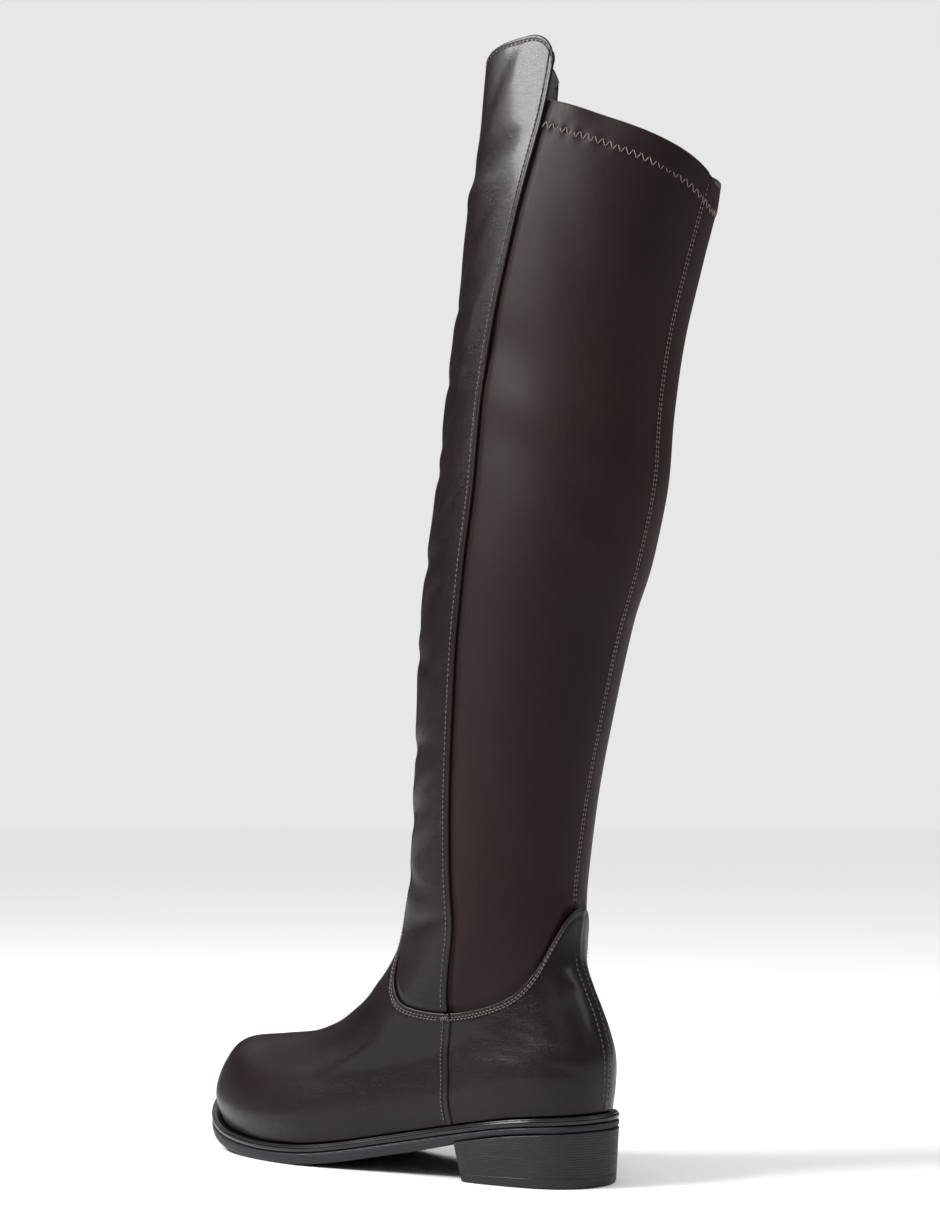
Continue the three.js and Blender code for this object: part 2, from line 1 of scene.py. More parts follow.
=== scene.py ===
"""Looks of a left knee-high riding boot.

Leather foot and shin panel, stretch satin shaft, side zip and welted sole.
"""

import math
from types import SimpleNamespace

import bmesh
import bpy
import numpy as np
from mathutils import Matrix, Vector


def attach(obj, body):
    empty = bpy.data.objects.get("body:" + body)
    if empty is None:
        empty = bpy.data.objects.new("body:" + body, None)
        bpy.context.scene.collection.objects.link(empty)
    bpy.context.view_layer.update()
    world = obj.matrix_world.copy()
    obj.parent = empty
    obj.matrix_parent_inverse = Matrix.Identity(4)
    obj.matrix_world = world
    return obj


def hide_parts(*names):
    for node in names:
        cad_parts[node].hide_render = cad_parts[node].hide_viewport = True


bl_info = {
    "name": "Knee-high boot",
    "version": (1, 0, 0),
    "blender": (4, 5, 0),
    "location": "3D View > Sidebar > Boot",
    "description": "Builds the pieces, finishes and studio of a left knee-high riding boot",
    "category": "Object",
}

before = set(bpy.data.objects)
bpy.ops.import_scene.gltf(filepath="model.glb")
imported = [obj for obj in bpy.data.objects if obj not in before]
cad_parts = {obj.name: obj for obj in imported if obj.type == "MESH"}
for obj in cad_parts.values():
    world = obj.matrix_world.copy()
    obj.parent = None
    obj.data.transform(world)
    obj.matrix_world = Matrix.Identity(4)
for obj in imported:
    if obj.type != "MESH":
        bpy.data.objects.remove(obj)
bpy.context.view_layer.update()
MM = 0.001
BOOT = "boot"
PULL = "pull"


# ---------------------------------------------------------------- the last and the shaft, in millimetres


def table(columns, rows):
    """A short table with named columns: each column becomes an array."""
    names = columns.split()
    return {name: np.array([row[i] for row in rows], float) for i, name in enumerate(names)}


# Horizontal sections of the outer surface, from the feather line to the top of the shin tab.
# front and back are the X of a section's two ends, outer and inner its half widths, last its share
# of the last's outline, slim how much narrower it is towards the shin, turn its twist in degrees
# and middle the Y of its centre.
SECTIONS = table("front front_z back back_z outer inner last slim turn middle", [
    (216, 28, -35, 35.5, 41, 41, 1, 0, 0, 0),
    (220, 38, -36.5, 48, 43, 43, 1, 0, 0, 0),
    (214.5, 48.5, -37, 61, 42, 42, 1, 0, 0, 0),
    (202, 57.5, -34.5, 73, 39, 39, 0.9, 0, 0, 0),
    (176, 61, -30.5, 84, 37, 36, 0.72, 0, 0, 0),
    (147, 65, -25.5, 95, 35.5, 34.5, 0.5, 0, 0, 0),
    (121, 76, -21, 106, 35.5, 34.5, 0.3, 0.05, 0, 0),
    (99, 93, -19.5, 117, 36.5, 35.5, 0.15, 0.08, 1, 0),
    (82, 116, -19.5, 131, 38, 37, 0.05, 0.1, 2, 0),
    (76, 148, -20, 148, 39, 39, 0, 0.12, 3, 0),
    (72.5, 190, -26, 190, 40.5, 40.5, 0, 0.15, 5, 0),
    (71, 228, -33.5, 228, 42.5, 42.5, 0, 0.17, 7, -1),
    (69.5, 265, -42.5, 265, 44, 44, 0, 0.2, 9, -1.5),
    (64.5, 302, -54.5, 302, 46, 46, 0, 0.22, 11, -2),
    (58, 340, -63.5, 340, 46.5, 46.5, 0, 0.24, 13, -3),
    (53.5, 378, -67, 378, 46.5, 46.5, 0, 0.26, 14, -4),
    (48.5, 415, -72.5, 415, 46.5, 46.5, 0, 0.28, 16, -5),
    (42.5, 452, -82.5, 452, 46.5, 46.5, 0, 0.3, 17, -5.5),
    (36.5, 490, -93, 490, 46, 46, 0, 0.34, 18, -6),
    (29, 530, -98, 530, 42, 42, 0, 0.42, 20, -6),
    (24, 572, -100, 572, 36, 36, 0, 0.5, 21, -6),
])
SECTIONS["at"] = np.arange(len(SECTIONS["front"]), dtype=float)
TOP_LEVEL = SECTIONS["at"][-1]

LAST_OUTLINE = table("at outer inner", [
    (0, 1.42, 1.42), (0.08, 1.15, 1.15), (0.15, 0.99, 0.98), (0.3, 0.81, 0.75), (0.42, 0.82, 0.68),
    (0.55, 0.94, 0.8), (0.65, 1.06, 0.98), (0.75, 1.12, 1.16), (0.85, 1.16, 1.28),
    (0.93, 1.24, 1.36), (1, 1.42, 1.42),
])
FEATHER = table("at height", [
    (0, 35.5), (0.13, 33), (0.26, 27.6), (0.4, 21), (0.55, 14), (0.64, 11.2), (0.76, 10.3), (0.87, 12),
    (0.93, 15.2), (0.97, 20.4), (1, 28),
])
OUTSOLE_DEPTH = table("at depth", [(0, 3), (0.24, 3), (0.3, 5), (0.5, 5.4), (1, 5.4)])
TOPLINE = table("at height", [
    (0, 150), (10, 148), (18, 142), (25, 134), (32, 124), (41, 112), (50, 103), (62, 93.5), (77, 85.5),
    (90, 82.5), (105, 81.5), (118, 84), (132, 90), (141, 97), (150, 106.4), (158, 118),
    (166, 127.6), (173, 132.4), (180, 133.6),
])
RIM = table("at height", [
    (55, 535), (69, 532), (88, 524), (103, 517.5), (123, 509), (142, 501),
    (160, 493.5), (172, 489), (180, 488),
])
# Angles from the front, in degrees, of the shin panel's outer edge and of the zip at each section.
EDGES = table("at outer zip", [
    (1.1, 116, 107), (4, 108, 104), (5.4, 104, 100), (7.2, 94, 91), (8.7, 86, 83), (10, 77, 75), (12, 70, 68),
    (14, 63, 60), (16, 61, 58), (17.5, 64, 60), (19, 69, 64), (20, 71, 66),
])
# The vamp's back edge on the outer side, as an angle from the front in degrees.
SIDE_SEAM = table("at angle", [
    (0, 116.6), (1.1, 115.8), (2.2, 114.4), (3.5, 111.8), (4.9, 107.4), (5.4, 104.4), (6.5, 98),
])
TOE_SWING = 9
TAB_TOP = 567
TAB_CORNER = 15
TAB_DIP = 6
# The angle of the leather's back seam from the front, in degrees.
HEEL_SEAM = 181
ZIP_BOTTOM = 1.1
ZIP_SLOT = 10
WELT_HEIGHT = 4.2
GAP = 0.3
TREAD_FLAT = 0.4


def along(rows, column, at):
    """A smooth curve through one column of a table whose rows rise in at."""
    x, v = rows["at"], rows[column]
    before = np.maximum(np.arange(len(x)) - 1, 0)
    after = np.minimum(np.arange(len(x)) + 1, len(x) - 1)
    slope = (v[after] - v[before]) / (x[after] - x[before])
    place = np.clip(at, x[0], x[-1])
    i = np.clip(np.searchsorted(x, place) - 1, 0, len(x) - 2)
    span = x[i + 1] - x[i]
    t = (place - x[i]) / span
    rise = v[i + 1] - v[i]
    bend = (1 - t) * slope[i] * span - t * slope[i + 1] * span + (2 * t - 1) * rise
    return v[i] + rise * t + t * (1 - t) * bend


def mix(a, b, t):
    return a + (b - a) * t


def smooth(t):
    t = np.clip(t, 0, 1)
    return t * t * (3 - 2 * t)


def station_of(angle):
    """0 at the heel and 1 at the toe."""
    return (1 + np.cos(angle)) / 2


TREAD_LEVEL = TREAD_FLAT + float(np.min(
    along(FEATHER, "height", np.linspace(0, 1, 181)) - WELT_HEIGHT - 2 * GAP
    - along(OUTSOLE_DEPTH, "depth", np.linspace(0, 1, 181))))


def surface(level, angle):
    """A point of the boot's outer surface.

    angle runs from the front over the outer side, the back and the inner side.
    """
    level, angle = np.broadcast_arrays(np.asarray(level, float), np.asarray(angle, float))
    station = station_of(angle)
    outer_side = np.sin(angle) >= 0
    last = along(SECTIONS, "last", level)
    foot = np.where(outer_side, along(LAST_OUTLINE, "outer", station), along(LAST_OUTLINE, "inner", station))
    leg = 1 - along(SECTIONS, "slim", level) * station
    outline = mix(leg, foot, last)
    plain = mix(FEATHER["height"][0], FEATHER["height"][-1], station)
    feather = along(FEATHER, "height", station) - plain
    front, back = along(SECTIONS, "front", level), along(SECTIONS, "back", level)
    centre = (front + back) / 2
    half = np.where(outer_side, along(SECTIONS, "outer", level), along(SECTIONS, "inner", level))
    x = front * station + back * (1 - station) - centre
    y = np.sin(angle) * half * outline - TOE_SWING * station * station * last
    turn = np.radians(along(SECTIONS, "turn", level))
    z = mix(along(SECTIONS, "back_z", level), along(SECTIONS, "front_z", level), station) + feather * last
    middle = along(SECTIONS, "middle", level)
    return np.stack([
        centre + x * np.cos(turn) - y * np.sin(turn),
        middle + x * np.sin(turn) + y * np.cos(turn),
        z - TREAD_LEVEL,
    ], -1)


STEP = 1e-3


def across(level, angle):
    return (surface(level, angle + STEP) - surface(level, angle - STEP)) / (2 * STEP)


def upward(level, angle):
    inside = np.clip(level, STEP, TOP_LEVEL - STEP)
    return (surface(inside + STEP, angle) - surface(inside - STEP, angle)) / (2 * STEP)


def length(vectors):
    return np.linalg.norm(vectors, axis=-1)


def unit(vectors):
    return vectors / length(vectors)[..., None]


def normal(level, angle):
    return unit(np.cross(across(level, angle), upward(level, angle)))


def skin(level, angle, depth):
    """The surface moved out along its normal by a depth, in millimetres."""
    level, angle, depth = np.broadcast_arrays(level, angle, depth)
    return surface(level, angle) + normal(level, angle) * depth[..., None]


def level_at(height, angle):
    """The level at which the surface reaches a height above the floor."""
    low = np.zeros(np.shape(angle))
    high = np.full(np.shape(angle), TOP_LEVEL)
    for _ in range(30):
        half = (low + high) / 2
        below = surface(half, angle)[..., 2] + TREAD_LEVEL < height
        low = np.where(below, half, low)
        high = np.where(below, high, half)
    return (low + high) / 2


def from_front(angle):
    """The angle from the front, 0 to 180 degrees, on either side."""
    return np.degrees(np.arccos(np.cos(angle)))


def level_line(height, start=0.0, end=2 * math.pi):
    """A line round the boot at a height that depends on the angle, as a function from angle to level."""
    angles = np.linspace(start, end, 481)
    levels = level_at(height(angles), angles)
    if end - start < 2 * math.pi:
        return lambda angle: np.interp(angle, angles, levels)
    return lambda angle: np.interp(np.mod(angle, 2 * math.pi), angles, levels)


def outer_edge(level):
    return np.radians(along(EDGES, "outer", level))


def zip_line(level):
    return -np.radians(along(EDGES, "zip", level))


def beside(line, distance):
    """The line moved round the boot by a distance in millimetres, positive towards the outer side."""
    def moved(level):
        angle = line(level)
        shift = distance(level) if callable(distance) else distance
        return angle + shift / length(across(level, angle))
    return moved


def turned(line):
    """The same line counted one whole turn later, for panels that pass the back."""
    return lambda level: line(level) + 2 * math.pi


def topline_height(angle):
    return along(TOPLINE, "height", from_front(angle))


def rim_height(angle):
    return along(RIM, "height", from_front(angle))


topline = level_line(topline_height)
rim = level_line(rim_height)


def raised(line, distance):
    """The line moved up the boot by a distance in millimetres."""
    def moved(angle):
        level = line(angle)
        return np.clip(level + distance / length(upward(level, angle)), 0, TOP_LEVEL)
    return moved


def slot_half(level):
    """Half the width of the zip's slot, which closes in a round end below the zip."""
    return ZIP_SLOT / 2 * np.sqrt(np.clip((level - ZIP_BOTTOM + 0.12) / 0.12, 0, 1))


def tab_height(angle):
    """The shin panel's level top, rounded down at its two corners."""
    level = level_at(np.full(np.shape(angle), TAB_TOP - TAB_CORNER / 2), angle)
    outer = outer_edge(level) - angle
    inner = angle - beside(zip_line, ZIP_SLOT / 2)(level)
    to_edge = np.minimum(outer, inner) * length(across(level, angle)) - 0.4
    corner = 1 - np.clip(to_edge / TAB_CORNER, 0, 1)
    dip = TAB_DIP * np.exp(-(angle / math.radians(26)) ** 2)
    return TAB_TOP - dip - TAB_CORNER * (1 - np.sqrt(1 - corner * corner))


tab_top = level_line(tab_height, -1.4, 1.5)


# ---------------------------------------------------------------- meshes and panels


def finished(name, bm, materials, body=BOOT):
    """A smooth-shaded object from a bmesh in metres, riding on a body."""
    mesh = bpy.data.meshes.new(name)
    bm.to_mesh(mesh)
    bm.free()
    for finish in materials:
        mesh.materials.append(finish)
    piece = bpy.data.objects.new(name, mesh)
    bpy.context.scene.collection.objects.link(piece)
    for polygon in mesh.polygons:
        polygon.use_smooth = True
    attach(piece, body)
    return piece


def crowded(t, amount=0.75):
    """Even steps from 0 to 1 that crowd towards both ends, where an edge is rolled."""
    return t - amount * np.sin(2 * math.pi * t) / (2 * math.pi)


def grid(columns, rows, place, closed=False):
    """A grid mesh whose points are given by place(s, t) in millimetres, welded where it closes on itself."""
    bm = bmesh.new()
    bmesh.ops.create_grid(bm, x_segments=columns, y_segments=rows, size=0.5)
    flat = np.array([vert.co[:] for vert in bm.verts])
    low, high = flat.min(0), flat.max(0)
    s = (flat[:, 0] - low[0]) / (high[0] - low[0])
    t = (flat[:, 1] - low[1]) / (high[1] - low[1])
    points, sheet = place(s, t)
    uv_layer = bm.loops.layers.uv.new("surface")
    for vert, point, uv in zip(bm.verts, points, sheet):
        vert.co = Vector(point) * MM
        for loop in vert.link_loops:
            loop[uv_layer].uv = uv
    if closed:
        bmesh.ops.remove_doubles(bm, verts=bm.verts, dist=1e-6)
    return bm


def rolled(distance, radius):
    """How far a rounded edge falls away, by distance from the edge."""
    inside = np.clip(1 - distance / radius, 0, 1)
    return radius * (1 - np.sqrt(1 - inside * inside))


def panel(name, columns, rows, edges, ends, depth, thickness, materials, edge_radius=0.9):
    """A sewn panel between two edge lines (by level) and two end lines (by angle), with rolled edges.

    depth(spot) gives how far its face stands out, where spot holds levels, angles, heights and the distances
    to its four sides in millimetres.
    """
    def place(s, t):
        s, t = crowded(s), crowded(t)
        level = np.full(s.shape, 8.0)
        for _ in range(14):
            angle = mix(edges[0](level), edges[1](level), s)
            level = mix(ends[0](angle), ends[1](angle), t)
        wide, tall = length(across(level, angle)), length(upward(level, angle))
        base = surface(level, angle)
        spot = SimpleNamespace(
            level=level, angle=angle, height=base[:, 2], wide=wide,
            start=np.abs(angle - edges[0](level)) * wide, end=np.abs(edges[1](level) - angle) * wide,
            bottom=np.abs(level - ends[0](angle)) * tall, top=np.abs(ends[1](angle) - level) * tall)
        near = np.minimum(np.minimum(spot.start, spot.end), np.minimum(spot.bottom, spot.top))
        out = depth(spot) - rolled(near, edge_radius)
        sheet = np.stack([spot.start, spot.height], -1) * MM
        return base + normal(level, angle) * out[:, None], sheet
    piece = finished(name, grid(columns, rows, place), materials)
    wall = piece.modifiers.new("wall", "SOLIDIFY")
    wall.thickness = thickness * MM
    wall.offset = -1
    wall.material_offset = len(materials) - 1
    return piece


def creases(rows, spot):
    """The sum of soft troughs and ridges, each along a short slanting line on the boot's surface."""
    total = np.zeros(spot.level.shape)
    for angle, height, slant, reach, width, rise in rows:
        round_it = (spot.angle - math.radians(angle)) * spot.wide
        up = spot.height - height
        lean = math.radians(slant)
        run = round_it * math.cos(lean) + up * math.sin(lean)
        off = up * math.cos(lean) - round_it * math.sin(lean) + 0.004 * run * run
        total += rise * np.exp(-(run / reach) ** 2 - (off / width) ** 2)
    return total


def lip(distance, width, rise):
    """A soft raised band along an edge."""
    return rise * np.exp(-(distance / width) ** 2)


def stitch_row(points, normals, thread, fill, bm_total):
    """Adds one thread grain between each two neighbouring points, all in millimetres."""
    bm = bmesh.new()
    for a, b, n in zip(points[:-1], points[1:], normals[:-1]):
        run = Vector(b - a)
        reach = run.length
        along_it = run.normalized()
        out = Vector(n)
        aside = out.cross(along_it).normalized()
        out = along_it.cross(aside)
        turn = Matrix((along_it, aside, out)).transposed().to_4x4()
        size = Matrix.Diagonal((reach * fill / 2, thread / 2, thread / 2, 1))
        place = Matrix.Translation(Vector((a + b) / 2)) @ turn @ size
        in_metres = Matrix.Scale(MM, 4) @ place
        bmesh.ops.create_uvsphere(bm, u_segments=6, v_segments=4, radius=1, matrix=in_metres)
    mesh = bpy.data.meshes.new("row")
    bm.to_mesh(mesh)
    bm.free()
    bm_total.from_mesh(mesh)
    bpy.data.meshes.remove(mesh)


def walked(level, angle, pitch):
    """Levels and angles at an even pitch, in millimetres, along a line on the surface."""
    points = surface(level, angle)
    run = np.concatenate([[0], np.cumsum(length(np.diff(points, axis=0)))])
    count = max(int(round(run[-1] / pitch)), 1) + 1
    even = np.linspace(0, run[-1], count)
    return np.interp(even, run, level), np.interp(even, run, angle)


def row_up(line, low, high, aside=0.0, depth=1.2, pitch=3.0):
    """Stitch points that run up the boot beside a line, from one level to another."""
    level = np.linspace(low, high, 300)
    level, angle = walked(level, beside(line, aside)(level), pitch)
    return skin(level, angle, depth), normal(level, angle)


def row_round(line, start, end, inset=0.0, depth=1.2, pitch=3.0):
    """Stitch points that run round the boot below a line, from one angle to another, in degrees."""
    angle = np.radians(np.linspace(start, end, 400))
    level, angle = walked(raised(line, -inset)(angle), angle, pitch)
    return skin(level, angle, depth), normal(level, angle)


# ---------------------------------------------------------------- shader maths and finishes


def add_node(tree, kind, settings, sockets, output=0):
    """A node with its settings and the values or links of its sockets; gives one of its outputs."""
    made = tree.nodes.new(kind)
    for key, value in settings.items():
        setattr(made, key, value)
    for key, value in sockets.items():
        if isinstance(value, bpy.types.NodeSocket):
            tree.links.new(value, made.inputs[key])
        else:
            made.inputs[key].default_value = value
    return made.outputs[output]


class Wire:
    """A socket that can be used in a Python expression."""

    def __init__(self, finish, socket):
        self.finish = finish
        self.socket = socket

    def maths(self, operation, *values):
        return self.finish.node("ShaderNodeMath", {"operation": operation}, *values)

    def __add__(self, other):
        return self.maths("ADD", self, other)

    def __radd__(self, other):
        return self.maths("ADD", other, self)

    def __sub__(self, other):
        return self.maths("SUBTRACT", self, other)

    def __rsub__(self, other):
        return self.maths("SUBTRACT", other, self)

    def __mul__(self, other):
        return self.maths("MULTIPLY", self, other)

    def __rmul__(self, other):
        return self.maths("MULTIPLY", other, self)

    def above(self, low, high):
        """0 below low, 1 above high and a smooth step between."""
        settings = {"interpolation_type": "SMOOTHSTEP"}
        sockets = {"Value": self, "From Min": low, "From Max": high}
        return self.finish.node("ShaderNodeMapRange", settings, sockets=sockets)


class Finish:
    """A procedural material under construction."""

    def __init__(self, name, **constants):
        self.material = bpy.data.materials.new(name)
        self.material.use_nodes = True
        self.tree = self.material.node_tree
        self.shader = self.tree.nodes["Principled BSDF"]
        for socket, value in constants.items():
            self.shader.inputs[socket.replace("_", " ")].default_value = value
        self.coordinates = self.tree.nodes.new("ShaderNodeTexCoord")

    def node(self, kind, settings=None, *values, output=0, sockets=None, **named):
        """A node of this material, from its settings and the values or wires of its sockets."""
        given = {**dict(enumerate(values)), **(sockets or {}), **named}
        plain = {key: value.socket if isinstance(value, Wire) else value for key, value in given.items()}
        return Wire(self, add_node(self.tree, kind, settings or {}, plain, output))

    def place(self, stretch=(1, 1, 1), turn=(0, 0, 0), source="Object"):
        """Coordinates in metres, stretched and turned."""
        return self.node("ShaderNodeMapping", None, Wire(self, self.coordinates.outputs[source]),
                         Scale=stretch, Rotation=turn)

    def noise(self, scale, detail=4.0, stretch=(1, 1, 1), turn=(0, 0, 0), source="Object"):
        where = self.place(stretch, turn, source)
        return self.node("ShaderNodeTexNoise", None, Vector=where, Scale=scale, Detail=detail)

    def cells(self, scale, feature="DISTANCE_TO_EDGE", stretch=(1, 1, 1)):
        where = self.place(stretch)
        return self.node("ShaderNodeTexVoronoi", {"feature": feature}, Vector=where, Scale=scale)

    def waves(self, scale, direction="Z", distortion=0.0, source="Object", turn=(0, 0, 0)):
        settings = {"wave_type": "BANDS", "bands_direction": direction}
        return self.node("ShaderNodeTexWave", settings, Vector=self.place((1, 1, 1), turn, source),
                         Scale=scale, Distortion=distortion, **{"Detail Scale": 3.0})

    def colours(self, factor, dark, light):
        """A mix of two colours, whose sockets are at 0, 6 and 7 of the node and whose result is at 2."""
        sockets = {0: factor, 6: dark, 7: light}
        return self.node("ShaderNodeMix", {"data_type": "RGBA"}, output=2, sockets=sockets)

    def feed(self, socket, wire):
        self.tree.links.new(wire.socket, self.shader.inputs[socket])

    def bump(self, height, distance):
        """Relief of a height in metres at full strength."""
        made = self.node("ShaderNodeBump", None, Height=height, Distance=distance, Strength=1.0)
        self.feed("Normal", made)


def colour(values, share=1.0):
    return (values[0] * share, values[1] * share, values[2] * share, 1.0)


def leather_finish(name, base, shine):
    """Smooth polished leather with a fine grain, faint scuffs and a slow change of tone."""
    finish = Finish(name, IOR=1.46, Specular_IOR_Level=0.2, Coat_Weight=0.12, Coat_Roughness=0.16)
    tone = finish.noise(16, 3)
    scuffs = finish.noise(220, 6, (1, 1, 3.5), (0.5, 0.3, 0)).above(0.55, 0.75)
    finish.feed("Base Color", finish.colours(tone.above(0.35, 0.7), colour(base, 0.82), colour(base, 1.25)))
    finish.feed("Roughness", shine + 0.1 * tone + 0.1 * scuffs)
    grain = finish.cells(1500).above(0.0, 0.18)
    pores = finish.noise(2600, 2)
    wrinkles = finish.noise(75, 7, (1, 1, 2.4), (0.25, 0.2, 0)).above(0.47, 0.53)
    finish.bump(0.6 * grain + 0.5 * pores + 0.7 * finish.noise(330, 5) + 0.8 * wrinkles, 0.00005)
    return finish.material


def satin_finish(name, base):
    """Stretch satin: a soft sheen over a fine diagonal weave, with faint slubs."""
    finish = Finish(name, Sheen_Weight=0.06, Sheen_Roughness=0.35, Sheen_Tint=(0.6, 0.36, 0.3, 1), IOR=1.4,
                    Specular_IOR_Level=0.22)
    tone = finish.noise(11, 3, (1, 1, 0.5))
    slubs = finish.noise(900, 3, (1, 1, 0.08))
    shade = 0.65 * tone + 0.35 * slubs
    finish.feed("Base Color", finish.colours(shade.above(0.3, 0.7), colour(base, 0.8), colour(base, 1.25)))
    finish.feed("Roughness", 0.44 + 0.16 * slubs)
    twill = finish.waves(620, "DIAGONAL", 0.6, "UV", (0, 0, 0.15))
    threads = finish.waves(1400, "Y", 0.3, "UV")
    finish.bump(0.6 * twill + 0.4 * threads + 0.15 * slubs, 0.00002)
    return finish.material


def rubber_finish(name, base, roughness, layers):
    """Rubber with fine moulding lines along its side, as many as layers to the metre, and light scratches."""
    finish = Finish(name, IOR=1.5, Specular_IOR_Level=0.35)
    lines = finish.waves(layers, "Z", 1.2)
    scratches = finish.noise(420, 5, (0.35, 0.35, 4)).above(0.5, 0.72)
    tone = finish.noise(40, 3)
    shade = 0.6 * tone + 0.4 * lines
    finish.feed("Base Color", finish.colours(shade, colour(base, 0.75), colour(base, 1.35)))
    finish.feed("Roughness", roughness + 0.12 * tone + 0.12 * scratches)
    finish.bump(0.6 * lines + 0.5 * scratches + 0.3 * finish.noise(1800, 3), 0.00012)
    return finish.material


def gloss_finish(name, base, roughness):
    finish = Finish(name, IOR=1.5, Specular_IOR_Level=0.35, Coat_Weight=0.15, Coat_Roughness=0.15)
    haze = finish.noise(90, 4)
    finish.feed("Base Color", finish.colours(haze, colour(base, 0.8), colour(base, 1.3)))
    finish.feed("Roughness", roughness + 0.15 * haze)
    finish.bump(finish.noise(260, 3), 0.00004)
    return finish.material


def cloth_finish(name, base, threads):
    """Plain woven cloth, with a number of threads to the metre."""
    finish = Finish(name, Sheen_Weight=0.2)
    weave = finish.waves(threads, "X", 0.4) * finish.waves(threads, "Z", 0.4)
    tone = finish.noise(60, 4)
    finish.feed("Base Color", finish.colours(0.5 * tone + 0.5 * weave, colour(base, 0.7), colour(base, 1.3)))
    finish.feed("Roughness", 0.75 + 0.2 * tone)
    finish.bump(weave, 0.00012)
    return finish.material


def thread_finish(name, base):
    finish = Finish(name, Sheen_Weight=0.2)
    twist = finish.noise(1800, 2)
    finish.feed("Base Color", finish.colours(twist, colour(base, 0.65), colour(base, 1.3)))
    finish.feed("Roughness", 0.5 + 0.25 * twist)
    finish.bump(twist, 0.00006)
    return finish.material


def metal_finish(name, base):
    finish = Finish(name, Metallic=1.0)
    haze = finish.noise(500, 4)
    finish.feed("Base Color", finish.colours(haze, colour(base, 0.85), colour(base, 1.1)))
    finish.feed("Roughness", 0.2 + 0.16 * haze)
    finish.bump(haze, 0.00002)
    return finish.material


FINISHES = {}


def finishes():
    """The boot's materials, made once from the colours in the panel."""
    if not FINISHES:
        tones = bpy.context.scene.boot_colours
        FINISHES.update(
            leather=leather_finish("leather", tones.leather, 0.27),
            leather_back=leather_finish("leather_back", tones.lining, 0.6),
            satin=satin_finish("stretch_satin", tones.satin),
            lining=cloth_finish("lining", tones.lining, 900),
            welt=gloss_finish("welt_rubber", tones.welt, 0.16),
            outsole=rubber_finish("outsole_rubber", tones.outsole, 0.45, 300),
            heel=rubber_finish("heel_stack", tones.outsole, 0.4, 260),
            thread=thread_finish("thread_taupe", tones.thread),
            thread_dark=thread_finish("thread_dark", tones.thread_dark),
            tape=cloth_finish("zip_tape", tones.tape, 1500),
            coil=gloss_finish("zip_coil", tones.tape, 0.3),
            metal=metal_finish("gunmetal", tones.metal),
            insert=gloss_finish("pull_insert", tones.insert, 0.25),
        )
    return FINISHES


# ---------------------------------------------------------------- sizes and colours


def millimetres(name, description, default):
    return bpy.props.FloatProperty(
        name=name, description=description, default=default * MM, unit="LENGTH", precision=5)


def paint(name, description, default):
    return bpy.props.FloatVectorProperty(
        name=name, description=description, default=default, size=3, subtype="COLOR", min=0, max=1)


class BootSizes(bpy.types.PropertyGroup):
    """Sizes of the sewn work."""

    leather_stand: millimetres("Leather stand", "How far the leather stands above the fabric's face", 0.7)
    leather_wall: millimetres("Leather thickness", "Thickness of the leather with its backing", 1.8)
    satin_wall: millimetres("Fabric thickness", "Thickness of the stretch fabric with its lining", 1.3)
    stitch: millimetres("Stitch length", "Length of one stitch in the seams", 2.6)
    thread: millimetres("Thread", "Thickness of the sewing thread", 0.55)
    hem: millimetres("Hem depth", "Depth of the fabric's hem below its rim", 13.5)


class BootColours(bpy.types.PropertyGroup):
    """Colours of the boot's materials."""

    leather: paint("Leather", "Dark brown leather", (0.0075, 0.0040, 0.0050))
    satin: paint("Satin", "Dark brown stretch satin", (0.0105, 0.0048, 0.0044))
    lining: paint("Lining", "Grey-brown lining", (0.085, 0.077, 0.075))
    welt: paint("Welt", "Glossy black welt", (0.0030, 0.0028, 0.0034))
    outsole: paint("Outsole", "Blue-black sole and heel", (0.0085, 0.0080, 0.0115))
    thread: paint("Thread", "Taupe thread of the fabric's seams", (0.170, 0.125, 0.108))
    thread_dark: paint("Leather thread", "Darker thread of the leather's seams", (0.105, 0.080, 0.076))
    tape: paint("Zip", "Black zip tape and coil", (0.0120, 0.0110, 0.0120))
    metal: paint("Metal", "Slider and pull", (0.56, 0.54, 0.54))
    insert: paint("Pull insert", "Dark brown insert of the pull", (0.030, 0.017, 0.014))


def size(name):
    """A size in millimetres from the panel's settings."""
    return getattr(bpy.context.scene.boot_sizes, name) / MM


# ---------------------------------------------------------------- leather foot

# Creases: angle from the front in degrees, height, slant in degrees, reach, width and rise in millimetres.
VAMP_CREASES = [
    (0, 36, 0, 60, 17, -2.2),
    (8, 62, 4, 26, 5, -0.35),
    (14, 70, -8, 22, 4.5, -0.5),
    (-6, 83, 6, 20, 5, -0.6),
    (4, 92, -5, 18, 4, 0.4),
    (62, 64, 20, 22, 7, -0.4),
    (74, 50, 28, 26, 8, 0.3),
    (40, 110, 60, 22, 6, -0.5),
]
QUARTER_CREASES = [
    (132, 68, -10, 16, 2.2, -0.3),
    (138, 62, -8, 20, 2.4, -0.32),
    (146, 72, -14, 14, 2, -0.25),
    (150, 57, -4, 18, 2.6, -0.3),
    (140, 80, -22, 16, 3, -0.3),
    (214, 64, 8, 18, 2.6, -0.3),
    (222, 72, 12, 16, 2.4, -0.25),
    (166, 100, -30, 12, 3, 0.35),
]


def heel_seam(level):
    """The leather's back seam, as an angle."""
    return np.full(np.shape(level), math.radians(HEEL_SEAM))


def side_seam(level):
    """The vamp's back edge on the outer side."""
    return np.radians(along(SIDE_SEAM, "angle", level))


def under_zip(level):
    """How far the vamp and quarter reach past the zip line below its end."""
    return slot_half(level) - 2.5 * (1 - smooth((level - ZIP_BOTTOM + 0.3) / 0.25))


